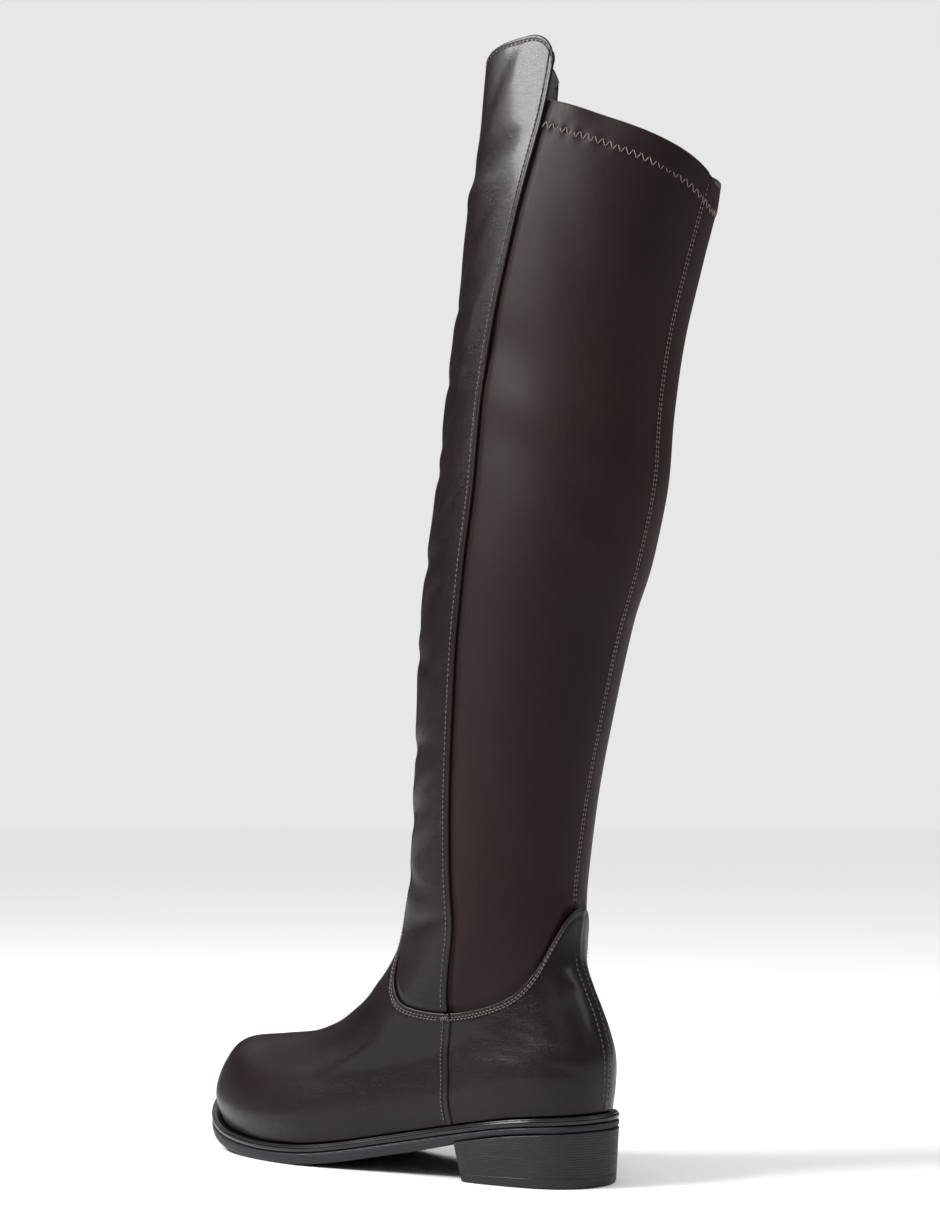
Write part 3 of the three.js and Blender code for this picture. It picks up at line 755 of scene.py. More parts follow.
def vamp_depth(spot):
    stand = size("leather_stand")
    face = stand + 0.7 * smooth(1 - spot.end / 7) + lip(spot.top - 1, 1.8, 0.45)
    face = face - lip(spot.top - 4.2, 1.1, 0.22)
    seam = lip(spot.end - 3.6, 0.8, -0.18) + lip(spot.end - 1, 1.2, 0.2)
    return face + seam + creases(VAMP_CREASES, spot)


def quarter_depth(spot):
    stand = size("leather_stand")
    tucked = -1.5 * smooth(1 - spot.start / 7)
    face = stand + tucked + lip(spot.top - 1, 1.8, 0.45) - lip(spot.top - 4.2, 1.1, 0.22)
    back = (spot.angle - math.radians(HEEL_SEAM)) * spot.wide
    ridge = 0.35 * np.exp(-(back / 1.2) ** 2) + lip(np.abs(back) - 2.6, 0.8, -0.1)
    ear = 2.3 * np.exp(-(spot.top / 15) ** 2 - (back / 11) ** 2)
    return face + ridge + ear + creases(QUARTER_CREASES, spot)


class BOOT_OT_leather_foot(bpy.types.Operator):
    """Vamp and quarter of the leather foot, sewn at the sides and rolled at the topline"""

    bl_idname = "boot.leather_foot"
    bl_label = "Leather foot"

    def execute(self, context):
        made = finishes()
        inner_front = beside(zip_line, under_zip)
        inner_back = turned(beside(zip_line, lambda level: -slot_half(level)))
        foot = dict(thickness=size("leather_wall"), materials=[made["leather"], made["leather_back"]])
        vamp = panel("vamp", 230, 110, [inner_front, beside(side_seam, 1.5)], [np.zeros_like, topline],
                     vamp_depth, **foot)
        quarter = panel("quarter", 190, 110, [beside(side_seam, -7), inner_back], [np.zeros_like, topline],
                        quarter_depth, **foot)
        for piece in (vamp, quarter):
            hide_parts("upper")
        return {"FINISHED"}


# ---------------------------------------------------------------- shin panel

SHIN_CREASES = [
    (26, 536, 64, 26, 6, -1.1),
    (34, 508, 22, 20, 6, -1.6),
    (24, 492, 14, 18, 5, 1.1),
    (28, 462, 58, 26, 6, -1.5),
    (20, 436, 30, 20, 5, -1.2),
    (44, 420, 74, 30, 5, 0.9),
    (24, 400, 24, 18, 5, -1.3),
    (30, 372, 34, 20, 5, -1.4),
    (20, 350, -16, 20, 5, -1.1),
    (38, 332, 62, 24, 5, 1.0),
    (26, 306, 12, 20, 5, -1.2),
    (34, 282, 40, 20, 5, -1.1),
    (24, 258, -10, 20, 5, -1.2),
    (42, 236, 64, 22, 5, 0.9),
    (30, 212, 10, 18, 4.5, -1.3),
    (44, 196, 30, 16, 4, 0.8),
    (32, 176, 22, 18, 4.5, -1.2),
    (50, 158, 38, 16, 4, -0.9),
    (36, 146, -8, 18, 5, -1.0),
    (62, 124, 16, 14, 4, -0.8),
    (-20, 300, 12, 26, 7, -1.2),
    (-34, 258, -16, 24, 6, -1.3),
    (-26, 205, 10, 22, 6, -1.2),
    (-36, 168, 24, 20, 5, -1.0),
    (-30, 400, 40, 28, 7, -1.2),
    (-38, 462, 56, 26, 6, -1.2),
    (-28, 350, -12, 24, 6, 0.9),
]


def shin_depth(spot):
    stand = size("leather_stand") + 0.2
    fold = lip(spot.end - 2.5, 0.7, -0.22) + lip(spot.start - 2.5, 0.7, -0.2)
    fold += np.where(spot.height > 520, lip(spot.top - 2.8, 0.7, -0.22), 0)
    tucked = -1.9 * smooth(1 - spot.bottom / 9)
    calm = smooth(spot.end / 9) * smooth(spot.start / 9)
    return stand + fold + tucked + calm * creases(SHIN_CREASES, spot)


class BOOT_OT_shin_panel(bpy.types.Operator):
    """Leather strip up the shin with a folded edge and a rounded tab above the rim"""

    bl_idname = "boot.shin_panel"
    bl_label = "Shin panel"

    def execute(self, context):
        made = finishes()
        piece = panel("shin_leather", 100, 300, [beside(zip_line, ZIP_SLOT / 2), beside(outer_edge, 1.2)],
                      [raised(topline, -4), tab_top], shin_depth, size("leather_wall"),
                      [made["leather"], made["lining"]])
        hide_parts("shin_panel")
        return {"FINISHED"}


# ---------------------------------------------------------------- stretch shaft

SHAFT_CREASES = [
    (96, 395, -38, 46, 12, -1.2),
    (104, 368, -34, 40, 10, 0.9),
    (122, 338, -40, 42, 11, -1.1),
    (130, 312, -36, 36, 9, 0.8),
    (142, 292, -44, 30, 9, -1.2),
    (150, 268, -30, 26, 8, -0.9),
    (92, 470, -60, 40, 12, -0.8),
    (126, 440, -52, 44, 13, 0.8),
    (146, 410, -60, 36, 11, -0.8),
    (110, 180, -70, 40, 10, -0.6),
    (136, 170, -62, 30, 9, 0.5),
    (252, 420, 42, 50, 13, -1.4),
    (262, 394, 38, 44, 11, 1.0),
    (244, 366, 46, 46, 12, -1.2),
    (232, 330, 40, 40, 10, 0.9),
    (222, 300, 44, 34, 9, -1.2),
    (270, 470, 60, 40, 11, -0.9),
    (246, 230, 62, 44, 11, -0.6),
]


def back_seam(level):
    """The fabric's back seam, which wanders a little to the outer side as it rises."""
    return np.radians(mix(177, 164, smooth((level - 9) / 8)))


def shaft_depth(spot):
    tucked = -0.9 * (lip(spot.bottom - 6, 3.2, 1) + lip(spot.start - 6, 2.4, 1))
    tucked = tucked - 1.4 * smooth(1 - spot.bottom / 6)
    under = -1.2 * smooth(1 - spot.start / 5)
    seam = -0.55 * np.exp(-((spot.angle - back_seam(spot.level)) * spot.wide / 0.7) ** 2)
    hem = size("hem")
    rim_roll = 0.35 * smooth(1 - (spot.top - hem) / 2.5) - lip(spot.top - hem, 1.0, 0.35)
    facing = lip(spot.end - 17.5, 0.8, -0.25)
    round_it = spot.angle * spot.wide
    pucker = 0.35 * np.sin(round_it / 1.4) * np.exp(-((spot.top - hem) / 3.5) ** 2)
    pucker += 0.9 * np.sin(round_it / 6.5 + 0.9 * np.sin(round_it / 17)) * np.exp(-(spot.top / 9) ** 2)
    calm = smooth((spot.top - 8) / 25)
    return tucked + under + seam + rim_roll + (facing + pucker) + calm * creases(SHAFT_CREASES, spot)


class BOOT_OT_stretch_shaft(bpy.types.Operator):
    """Stretch satin round the sides and back, with its back seam, hem and soft slanting folds"""

    bl_idname = "boot.stretch_shaft"
    bl_label = "Stretch shaft"

    def execute(self, context):
        made = finishes()
        edges = [beside(outer_edge, -4), turned(beside(zip_line, -ZIP_SLOT / 2))]
        piece = panel("satin_shaft", 165, 250, edges, [raised(topline, -5), rim], shaft_depth,
                      size("satin_wall"), [made["satin"], made["lining"]], edge_radius=0.7)
        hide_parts("stretch_shaft")
        return {"FINISHED"}


# ---------------------------------------------------------------- zip

TOOTH_PITCH = 1.35
TAPE_HALF = 10.5
RIM_ABOVE_TAPE = 3
SLIDER_BELOW_RIM = 12


def zip_end(below):
    """The level on the zip line at a distance below the rim."""
    return float(level_at(np.array(rim_height(zip_line(18.8)) - below), np.array(zip_line(18.8))))


class BOOT_OT_zip(bpy.types.Operator):
    """Zip tape and the two interlocked rows of its coil"""

    bl_idname = "boot.zip"
    bl_label = "Zip"

    def execute(self, context):
        made = finishes()
        low, high = ZIP_BOTTOM - 0.15, zip_end(RIM_ABOVE_TAPE)

        def tape_place(s, t):
            level = mix(low, high, t)
            aside = mix(-TAPE_HALF, TAPE_HALF, s)
            angle = beside(zip_line, aside)(level)
            bead = 0.5 * np.exp(-((np.abs(aside) - 3.3) / 0.5) ** 2)
            sheet = np.stack([aside, level * 30], -1) * MM
            return skin(level, angle, bead - 1.6), sheet

        tape = finished("zip_tape_cloth", grid(44, 260, tape_place), [made["tape"]])
        wall = tape.modifiers.new("wall", "SOLIDIFY")
        wall.thickness = 0.7 * MM
        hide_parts("zip_tape")

        coil = bmesh.new()
        level = np.linspace(ZIP_BOTTOM - 0.05, zip_end(8), 400)
        for side in (-1, 1):
            run, angle = walked(level, beside(zip_line, 1.15 * side)(level), TOOTH_PITCH)
            half_step = 0.5 * (run[1] - run[0]) * (side > 0)
            inner = skin(run + half_step, beside(zip_line, -0.3 * side)(run + half_step), -0.45)
            outer = skin(run + half_step, beside(zip_line, 2.7 * side)(run + half_step), -0.75)
            outward = normal(run, angle)
            for a, b, n in zip(inner, outer, outward):
                stitch_row(np.array([a, b]), [n, n], 0.95, 1.0, coil)
        piece = finished("zip_coil", coil, [made["coil"]])
        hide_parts("zip_chain")
        return {"FINISHED"}


# ---------------------------------------------------------------- slider and pull

# Edges of the metal parts that turn by more than this, in radians, are bevelled.
SHARP_ANGLE = 0.9
PLATE_TOP = 2.0
PLATE_THICK = 1.4
AXIS_HEIGHT = 1.3
# Outlines in the slider's own axes: across the zip and up along it, in millimetres, one half each.
SLIDER_HALF = [(3.0, -6.0), (3.5, -5.4), (3.5, -1.5), (3.9, 1.2), (4.3, 3.2), (4.1, 5.0), (3.0, 6.0)]
LOOP_HALF = [(2.2, 0.8), (2.9, 0.7), (3.2, 0.1), (3.2, -4.6), (2.9, -5.6), (2.2, -6.3)]
LOOP_HOLE_HALF = [(1.7, -0.8), (1.7, -4.4), (1.3, -4.8)]


def slider_axes():
    """Across, up and out of the slider, and the point on top of its plate, in millimetres."""
    level = zip_end(SLIDER_BELOW_RIM)
    angle = float(zip_line(level))
    up = unit(skin(level + 0.2, zip_line(level + 0.2), 0.0) - skin(level - 0.2, zip_line(level - 0.2), 0.0))
    out = unit(np.cross(across(level, angle), up))
    return np.cross(up, out), up, out, skin(level, angle, PLATE_TOP)


def slider_matrix(raise_by=0.0):
    side, up, out, point = slider_axes()
    turn = Matrix((Vector(side), Vector(up), Vector(out))).transposed().to_4x4()
    return Matrix.Scale(MM, 4) @ Matrix.Translation(Vector(point + out * raise_by)) @ turn


def mirrored(half):
    """A closed outline from its right half, listed from one end to the other."""
    return half + [(-x, y) for x, y in reversed(half)]


def plate(bm, outline, low, high, edge, material=0, hole=None):
    """A flat bevelled plate between two heights, with an optional hole, in millimetres."""
    made = [bm.verts.new((x, y, low)) for x, y in outline]
    edges = [bm.edges.new((a, b)) for a, b in zip(made, made[1:] + made[:1])]
    if hole:
        rim_verts = [bm.verts.new((x, y, low)) for x, y in hole]
        edges += [bm.edges.new((a, b)) for a, b in zip(rim_verts, rim_verts[1:] + rim_verts[:1])]
    faces = bmesh.ops.triangle_fill(bm, use_beauty=True, use_dissolve=True, edges=edges)["geom"]
    faces = [item for item in faces if isinstance(item, bmesh.types.BMFace)]
    grown = bmesh.ops.extrude_face_region(bm, geom=faces)["geom"]
    top = [item for item in grown if isinstance(item, bmesh.types.BMVert)]
    bmesh.ops.translate(bm, verts=top, vec=(0, 0, high - low))
    all_faces = {face for vert in top for face in vert.link_faces} | set(faces)
    for face in all_faces:
        face.material_index = material
    bmesh.ops.recalc_face_normals(bm, faces=list(all_faces))
    inner = {e for face in all_faces for e in face.edges if len(e.link_faces) == 2}
    sharp = {e for e in inner if e.calc_face_angle() > SHARP_ANGLE}
    bmesh.ops.bevel(bm, geom=list(sharp), offset=edge, offset_type="OFFSET", affect="EDGES", segments=2,
                    profile=0.5, material=-1, clamp_overlap=True)


def arc(centre, radius, start, end, count):
    """Points of a round stretch, in degrees."""
    steps = np.radians(np.linspace(start, end, count))
    return [(centre[0] + radius * math.cos(a), centre[1] + radius * math.sin(a)) for a in steps]


class BOOT_OT_zip_slider(bpy.types.Operator):
    """Gunmetal slider with its bridge, and the framed pull that hangs from it"""

    bl_idname = "boot.zip_slider"
    bl_label = "Zip slider and pull"

    def execute(self, context):
        made = finishes()
        body = bmesh.new()
        plate(body, mirrored(SLIDER_HALF), -PLATE_THICK, 0, 0.35)
        lower = mirrored([(x * 0.9, y * 0.96) for x, y in SLIDER_HALF])
        plate(body, lower, -PLATE_THICK - 2.2, -PLATE_THICK - 1.4, 0.25)
        arch = bmesh.new()
        half, clear, bar = 3.6, 2.6, 1.2
        outer = [(-half, -0.5), *arc((1.6 - half, clear - 0.4), 1.6, 180, 90, 5),
                 *arc((half - 1.6, clear - 0.4), 1.6, 90, 0, 5), (half, -0.5)]
        inner = [(half - bar, -0.5), *arc((half - bar - 0.6, clear - 0.6), 0.6, 0, 90, 4),
                 *arc((bar + 0.6 - half, clear - 0.6), 0.6, 90, 180, 4), (bar - half, -0.5)]
        plate(arch, outer + inner, -1.2, 1.2, 0.3)
        upright = Matrix(((0, 0, 1, 0), (1, 0, 0, 0), (0, 1, 0, 0), (0, 0, 0, 1)))
        bmesh.ops.transform(arch, verts=arch.verts, matrix=upright)
        mesh = bpy.data.meshes.new("arch")
        arch.to_mesh(mesh)
        arch.free()
        body.from_mesh(mesh)
        bpy.data.meshes.remove(mesh)
        bmesh.ops.transform(body, verts=body.verts, matrix=slider_matrix())
        slider = finished("slider_body", body, [made["metal"]])
        slider.data.polygons.foreach_set("use_smooth", [False] * len(slider.data.polygons))
        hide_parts("zip_slider")

        pull = bmesh.new()
        plate(pull, mirrored(LOOP_HALF), -0.8, 0.8, 0.3, hole=mirrored(LOOP_HOLE_HALF))
        end = -20.0
        tab = [(-2.0, -5.4), *arc((0, end), 4.0, 180, 360, 13), (2.0, -5.4)]
        tab[1:1] = [(-3.4, -6.6), (-4.0, -9.0)]
        tab[-1:-1] = [(4.0, -9.0), (3.4, -6.6)]
        plate(pull, tab, -0.7, 0.75, 0.3)
        oval = [*arc((0, -9.6), 2.6, 0, 180, 9), *arc((0, end), 2.9, 180, 360, 9)]
        plate(pull, oval, 0.6, 1.05, 0.25, material=1)
        bmesh.ops.transform(pull, verts=pull.verts, matrix=slider_matrix(AXIS_HEIGHT))
        hanging = finished("pull_tab", pull, [made["metal"], made["insert"]], PULL)
        hanging.data.polygons.foreach_set("use_smooth", [False] * len(hanging.data.polygons))
        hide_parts("zip_pull")
        return {"FINISHED"}


# ---------------------------------------------------------------- sole

WELT_REACH_FRONT = 4.6
WELT_REACH_HEEL = 4.0
HEEL_BREAST = 30
HEEL_TAPER = 1.6
BREAST_RAKE = 4.0
BREAST_HOLLOW = 3.0
# How far inside the feather line the welt band ends.
WELT_INNER_REACH = -7.0


def sole_point(angle, reach, height):
    """A point beside the feather line, reach millimetres outside it, at a height."""
    side = across(np.zeros(angle.shape), angle)
    outward = np.stack([side[:, 1], -side[:, 0], np.zeros(len(side))], -1)
    out = np.broadcast_to(reach, angle.shape)[:, None]
    point = surface(np.zeros(angle.shape), angle) + unit(outward) * out
    point[:, 2] = height
    return point


def welt_reach(angle):
    return mix(WELT_REACH_HEEL, WELT_REACH_FRONT, smooth(station_of(angle) * 2.5))


def feather_height(angle):
    return surface(np.zeros(np.shape(angle)), angle)[..., 2]


def outsole_top(angle):
    return feather_height(angle) - WELT_HEIGHT - 2 * GAP


def outsole_bottom(angle):
    return np.maximum(outsole_top(angle) - along(OUTSOLE_DEPTH, "depth", station_of(angle)), 0)


def ring(profile, columns=260, rows=40):
    """A closed band round the sole: profile(angle, t) gives reach and height, t runs round its section."""
    def place(s, t):
        angle = s * 2 * math.pi
        reach, height = profile(angle, t)
        return sole_point(angle, reach, height), np.stack([s, t], -1)
    bm = grid(columns, rows, place, closed=True)
    bmesh.ops.recalc_face_normals(bm, faces=bm.faces)
    return bm


def slab(profile, columns=240, rows=48):
    """A closed plate with the sole's outline: profile(angle, t) gives a share, a reach and a height."""
    def place(s, t):
        angle = s * 2 * math.pi
        share, reach, height = profile(angle, t)
        edge = sole_point(angle, reach, height)
        partner = sole_point(2 * math.pi - angle, reach, height)
        middle = (edge + partner) / 2
        return mix(middle, edge, share[:, None]), np.stack([s, t], -1)
    bm = grid(columns, rows, place, closed=True)
    bmesh.ops.remove_doubles(bm, verts=bm.verts, dist=2e-6)
    bmesh.ops.recalc_face_normals(bm, faces=bm.faces)
    return bm


def stops(t, *pairs):
    """A value that runs straight between stops of (t, value)."""
    places, values = zip(*pairs)
    value = np.zeros(np.shape(t))
    for i in range(len(places) - 1):
        share = np.clip((t - places[i]) / (places[i + 1] - places[i]), 0, 1)
        piece = mix(values[i], values[i + 1], share)
        value = np.where((t >= places[i]) | (i == 0), piece, value)
    return value


def welt_profile(angle, t):
    """A rounded nose with a fine groove above it, closed through the welt's inner edge."""
    top = feather_height(angle) - GAP
    turn = math.pi * (0.5 - np.clip((t - 0.1) / 0.8, 0, 1))
    reach = welt_reach(angle)
    nose = WELT_HEIGHT / 2
    round_it = reach - nose + nose * np.cos(turn)
    height = top - nose + nose * np.sin(turn)
    groove = 0.5 * np.exp(-((turn - 0.75) / 0.16) ** 2)
    round_it = round_it - groove * np.cos(turn)
    height = height - groove * np.sin(turn)
    inner = (t < 0.1) | (t > 0.9)
    seam = (t <= 0) | (t >= 1)
    return np.where(inner, WELT_INNER_REACH, round_it), np.where(seam, top - nose, height)


def outsole_profile(angle, t):
    reach = welt_reach(angle) - 0.3
    top, bottom = outsole_top(angle) + GAP, outsole_bottom(angle)
    share = stops(t, (0, 0.0), (0.2, 1.0), (0.6, 1.0), (1, 0.0))
    out = stops(t, (0, -0.6), (0.2, -0.6), (0.24, -0.1), (0.3, 0.1), (0.42, 0.0), (0.5, -0.5), (0.56, -1.3),
                (0.6, -2.0), (1, -2.0))
    down = stops(t, (0, 0.0), (0.2, 0.0), (0.24, 0.06), (0.3, 0.2), (0.42, 0.65), (0.5, 0.9), (0.56, 0.985),
                 (0.6, 1.0), (1, 1.0))
    return share, reach + out, mix(top, bottom, down)


def insole_profile(angle, t):
    feather = feather_height(angle)
    share = stops(t, (0, 0.0), (0.45, 1.0), (0.6, 1.0), (1, 0.0))
    out = stops(t, (0, -3.2), (0.4, -3.2), (0.48, -2.4), (0.6, -2.4), (1, -2.4))
    down = stops(t, (0, 2.0), (0.4, 2.0), (0.45, 1.7), (0.5, 1.0), (0.6, 0.2), (1, 0.2))
    return share, out, feather + down


class BOOT_OT_sole(bpy.types.Operator):
    """Glossy welt, thin outsole and insole"""

    bl_idname = "boot.sole"
    bl_label = "Welt, outsole and insole"

    def execute(self, context):
        made = finishes()
        for name, bm, finish, node, slot in (
            ("welt_band", ring(welt_profile), "welt", "welt", "rubber"),
            ("outsole_sheet", slab(outsole_profile), "outsole", "outsole", "rubber"),
            ("insole_sock", slab(insole_profile), "lining", "insole", "lining"),
        ):
            piece = finished(name, bm, [made[finish]])
            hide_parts(node)
        return {"FINISHED"}


def breast_angle():
    """The angle at which the sole's outline crosses the heel's breast on the outer side."""
    low, high = 0.4 * math.pi, math.pi
    for _ in range(40):
        half = np.array([(low + high) / 2])
        if sole_point(half, welt_reach(half), 0)[0, 0] > HEEL_BREAST:
            low = half[0]
        else:
            high = half[0]
    return low


def heel_back(start, share, inset, rake):
    """A point of the heel's outline round its back, from one end of the breast to the other."""
    angle = mix(start, 2 * math.pi - start, share)
    point = sole_point(angle, welt_reach(angle) - inset, 0)
    point[:, 0] -= rake * smooth(point[:, 0] / HEEL_BREAST)
    return point


def heel_outline(s, inset, rake):
    """The heel's outline at one height: round the back for s below 0.78 and across the breast above it."""
    start = breast_angle()
    back_share = 0.78
    round_back = heel_back(start, np.clip(s / back_share, 0, 1), inset, rake)
    cross = np.clip((s - back_share) / (1 - back_share), 0, 1)
    first, last = (heel_back(start, np.full(s.shape, end), inset, rake) for end in (0.0, 1.0))
    breast = mix(last, first, cross[:, None])
    breast[:, 0] -= BREAST_HOLLOW * 4 * cross * (1 - cross)
    return np.where((s <= back_share)[:, None], round_back, breast)


class BOOT_OT_heel(bpy.types.Operator):
    """Low block heel with a fine seam above its top piece"""

    bl_idname = "boot.heel"
    bl_label = "Block heel"

    def execute(self, context):
        made = finishes()

        def place(s, t):
            down = stops(t, (0, 0.0), (0.1, 0.0), (0.72, 0.8), (0.74, 0.805), (0.76, 0.81), (0.8, 0.83),
                         (0.86, 0.95), (0.9, 1.0), (1, 1.0))
            seam = 0.3 * np.exp(-((t - 0.74) / 0.012) ** 2)
            edge = stops(t, (0, 0.0), (0.86, 0.0), (0.885, 0.4), (0.9, 1.1), (1, 1.1))
            share = stops(t, (0, 0.0), (0.1, 1.0), (0.9, 1.0), (1, 0.0))
            inset = 0.3 + HEEL_TAPER * down + seam + edge
            outline = heel_outline(s, inset, BREAST_RAKE * down)
            station = np.clip((outline[:, 0] + 35) / 251, 0, 1)
            top = along(FEATHER, "height", station) - WELT_HEIGHT - 3 * GAP - 3 - TREAD_LEVEL
            height = mix(top, 0.0, down)
            middle = np.array([-3.0, 0.0])
            flat = mix(middle, outline[:, :2], share[:, None])
            return np.column_stack([flat, height]), np.stack([s, t], -1)

        bm = grid(128, 64, place, closed=True)
        bmesh.ops.remove_doubles(bm, verts=bm.verts, dist=2e-6)
        bmesh.ops.recalc_face_normals(bm, faces=bm.faces)
        piece = finished("heel_block", bm, [made["heel"]])
        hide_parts("heel")
        return {"FINISHED"}


# ---------------------------------------------------------------- stitching


class BOOT_OT_stitching(bpy.types.Operator):
    """Stitch rows of the leather and the fabric, and the zigzag of the hem"""

    bl_idname = "boot.stitching"
    bl_label = "Stitching"

    def execute(self, context):
        made = finishes()
        pitch, thread, hem = size("stitch"), size("thread"), size("hem")
        on_leather = size("leather_stand")
        outer_top, zip_top = zip_end(-4), zip_end(4)
        foot_side = float(topline(np.array(side_seam(5.4))))
        seam_angle = math.degrees(float(side_seam(5.4)))
        zip_angle_low = math.degrees(float(zip_line(5.6)))

        leather = bmesh.new()
        for inset in (2.5, 4.0):
            front_row = (zip_angle_low + 9, seam_angle - 2)
            back_row = (seam_angle + 2, 360 + zip_angle_low - 9)
            for start, end in (front_row, back_row):
                points, normals = row_round(topline, start, end, inset, on_leather + 0.5, pitch * 0.8)
                stitch_row(points, normals, thread * 1.2, 0.8, leather)
        rows = [
            row_up(side_seam, 0.25, foot_side - 0.15, -3.2, on_leather + 0.65, pitch * 0.8),
            row_up(outer_edge, foot_side + 0.25, outer_top, -2.4, on_leather + 0.3, pitch),
            row_up(zip_line, 1.2, zip_top, ZIP_SLOT / 2 + 2.2, on_leather + 0.35, pitch),
            row_up(turned(zip_line), 1.2, 5.4, -ZIP_SLOT / 2 - 2.2, on_leather + 0.2, pitch),
            *(row_up(heel_seam, 0.4, 7.4, aside, on_leather + 0.15, pitch) for aside in (-2.6, 2.6)),
        ]
        for points, normals in rows:
            stitch_row(points, normals, thread, 0.75, leather)
        tab_start = math.degrees(float(zip_line(19.3))) + 9
        points, normals = row_round(tab_top, tab_start, 66, 2.8, on_leather + 0.4, pitch)
        stitch_row(points, normals, thread, 0.75, leather)
        foot_level = ZIP_BOTTOM - 0.22
        aside = np.linspace(-ZIP_SLOT / 2 - 2.2, ZIP_SLOT / 2 + 2.2, 7)
        level = np.full(aside.shape, foot_level)
        angle = beside(zip_line, aside)(level)
        stitch_row(skin(level, angle, on_leather + 0.2), normal(level, angle), thread, 0.75, leather)
        for lean in (-1, 1):
            for shift in (-1.4, 0.0, 1.4):
                level = np.array([foot_side - 0.1, foot_side - 0.32])
                angle = beside(side_seam, np.array([shift - 1.1 * lean, shift + 1.1 * lean]) - 2)(level)
                stitch_row(skin(level, angle, on_leather + 0.9), normal(level, angle), thread, 1.0, leather)
        piece = finished("leather_stitches", leather, [made["thread_dark"]])

        fabric = bmesh.new()
        for aside in (-0.85, 0.85):
            rim_level = float(rim(np.array(math.radians(165)))) - 0.05
            points, normals = row_up(back_seam, 8.4, rim_level, aside, 0.05, pitch * 0.9)
            stitch_row(points, normals, thread * 0.85, 0.75, fabric)
        for aside in (-2.4, -17.5):
            points, normals = row_up(turned(zip_line), 5.7, zip_end(3), aside - ZIP_SLOT / 2, 0.0, pitch)
            stitch_row(points, normals, thread * 0.85, 0.7, fabric)
        angle = np.radians(np.linspace(70, 296, 700))
        level, angle = walked(raised(rim, -hem)(angle), angle, 2.1)
        swing = 1.9 * np.where(np.arange(len(level)) % 2, 1, -1)
        level = level + swing / length(upward(level, angle))
        stitch_row(skin(level, angle, 0.3), normal(level, angle), thread * 1.05, 0.95, fabric)
        piece = finished("fabric_stitches", fabric, [made["thread"]])
        return {"FINISHED"}


# ---------------------------------------------------------------- studio


# Strength of the world as a light, and as the camera sees it.
WORLD_LIGHT = 0.07
WORLD_SEEN = 0.8


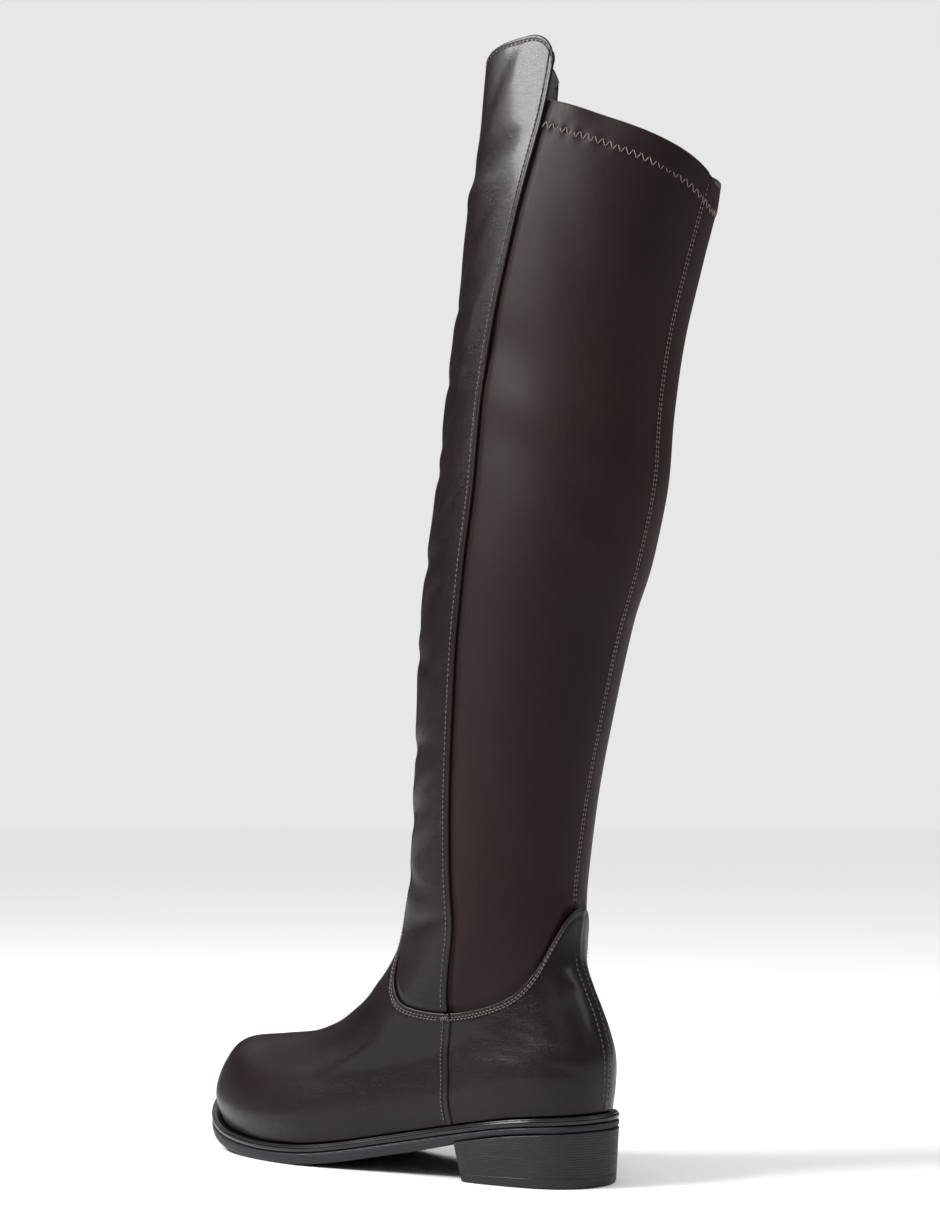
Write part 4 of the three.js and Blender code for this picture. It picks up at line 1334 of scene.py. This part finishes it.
class BOOT_OT_studio(bpy.types.Operator):
    """Pale floor, soft lights and the camera"""

    bl_idname = "boot.studio"
    bl_label = "Studio"

    def execute(self, context):
        scene = context.scene
        bm = bmesh.new()
        bmesh.ops.create_circle(bm, cap_ends=True, segments=96, radius=14)
        mesh = bpy.data.meshes.new("floor")
        bm.to_mesh(mesh)
        bm.free()
        floor = bpy.data.objects.new("floor", mesh)
        scene.collection.objects.link(floor)
        pale = bpy.data.materials.new("pale_floor")
        pale.use_nodes = True
        pale.node_tree.nodes["Principled BSDF"].inputs["Base Color"].default_value = (0.8, 0.8, 0.8, 1)
        pale.node_tree.nodes["Principled BSDF"].inputs["Roughness"].default_value = 0.8
        mesh.materials.append(pale)

        # The backdrop is pale to the eye, while the light that it sheds stays dim.
        world = bpy.data.worlds.new("studio")
        scene.world = world
        scene.view_settings.view_transform = "Standard"
        world.use_nodes = True
        tree = world.node_tree
        seen = add_node(tree, "ShaderNodeLightPath", {}, {}, "Is Camera Ray")
        levels = {"Value": seen, "To Min": WORLD_LIGHT, "To Max": WORLD_SEEN}
        background = tree.nodes["Background"]
        tree.links.new(add_node(tree, "ShaderNodeMapRange", {}, levels), background.inputs["Strength"])
        background.inputs["Color"].default_value = (1, 1, 1, 1)

        # The camera looks at the outer side from behind the heel, a little above the ankle.
        swing, distance, eye = math.radians(36), 1.22, 0.187
        camera_data = bpy.data.cameras.new("camera")
        camera = bpy.data.objects.new("camera", camera_data)
        scene.collection.objects.link(camera)
        camera.location = (-math.sin(swing) * distance, math.cos(swing) * distance, eye)
        aim = Vector((math.sin(swing), -math.cos(swing), 0))
        aim = Matrix.Rotation(math.radians(1.7), 3, "Z") @ aim
        aim.z = math.tan(math.radians(4.45))
        camera.rotation_mode = "QUATERNION"
        camera.rotation_quaternion = aim.to_track_quat("-Z", "Y")
        camera_data.sensor_width = 36
        camera_data.lens = 72.4
        camera_data.clip_start = 0.01
        scene.camera = camera

        # Lights: name, place, size in metres, power in watts.
        right = Vector((-math.cos(swing), -math.sin(swing), 0))
        towards = Vector((-math.sin(swing), math.cos(swing), 0))
        for name, place, spread, power in (
            ("toe_side", right * -1.35 + towards * 0.4 + Vector((0, 0, 1.35)), 0.7, 50),
            ("heel_side", right * 1.6 + towards * 0.4 + Vector((0, 0, 1.1)), 0.6, 3.5),
            ("camera_side", towards * 2.0 + Vector((0, 0, 1.2)), 1.0, 2.2),
        ):
            light = bpy.data.lights.new(name, "AREA")
            light.shape = "DISK"
            light.size = spread
            light.energy = power
            lamp = bpy.data.objects.new(name, light)
            scene.collection.objects.link(lamp)
            lamp.location = place
            lamp.rotation_mode = "QUATERNION"
            lamp.rotation_quaternion = (Vector((0, 0, 0.4)) - place).to_track_quat("-Z", "Y")
        sky = bpy.data.lights.new("overhead", "SUN")
        sky.angle = math.radians(110)
        sky.energy = 2.9
        scene.collection.objects.link(bpy.data.objects.new("overhead", sky))
        return {"FINISHED"}


# ---------------------------------------------------------------- panel and main

OPERATORS = (
    BOOT_OT_studio, BOOT_OT_leather_foot, BOOT_OT_shin_panel, BOOT_OT_stretch_shaft, BOOT_OT_zip,
    BOOT_OT_zip_slider, BOOT_OT_sole, BOOT_OT_heel, BOOT_OT_stitching,
)


class BOOT_PT_panel(bpy.types.Panel):
    """The boot's pieces, sizes and colours"""

    bl_label = "Knee-high boot"
    bl_idname = "BOOT_PT_panel"
    bl_space_type = "VIEW_3D"
    bl_region_type = "UI"
    bl_category = "Boot"

    def draw(self, context):
        for group in (context.scene.boot_sizes, context.scene.boot_colours):
            for name in group.__annotations__:
                self.layout.prop(group, name)
        for operator in OPERATORS:
            self.layout.operator(operator.bl_idname)


CLASSES = (BootSizes, BootColours, *OPERATORS, BOOT_PT_panel)


def register():
    for item in CLASSES:
        bpy.utils.register_class(item)
    bpy.types.Scene.boot_sizes = bpy.props.PointerProperty(type=BootSizes)
    bpy.types.Scene.boot_colours = bpy.props.PointerProperty(type=BootColours)


def unregister():
    del bpy.types.Scene.boot_colours
    del bpy.types.Scene.boot_sizes
    for item in reversed(CLASSES):
        bpy.utils.unregister_class(item)


def main():
    register()
    for operator in OPERATORS:
        family, action = operator.bl_idname.split(".")
        getattr(getattr(bpy.ops, family), action)()


if __name__ == "__main__":
    main()
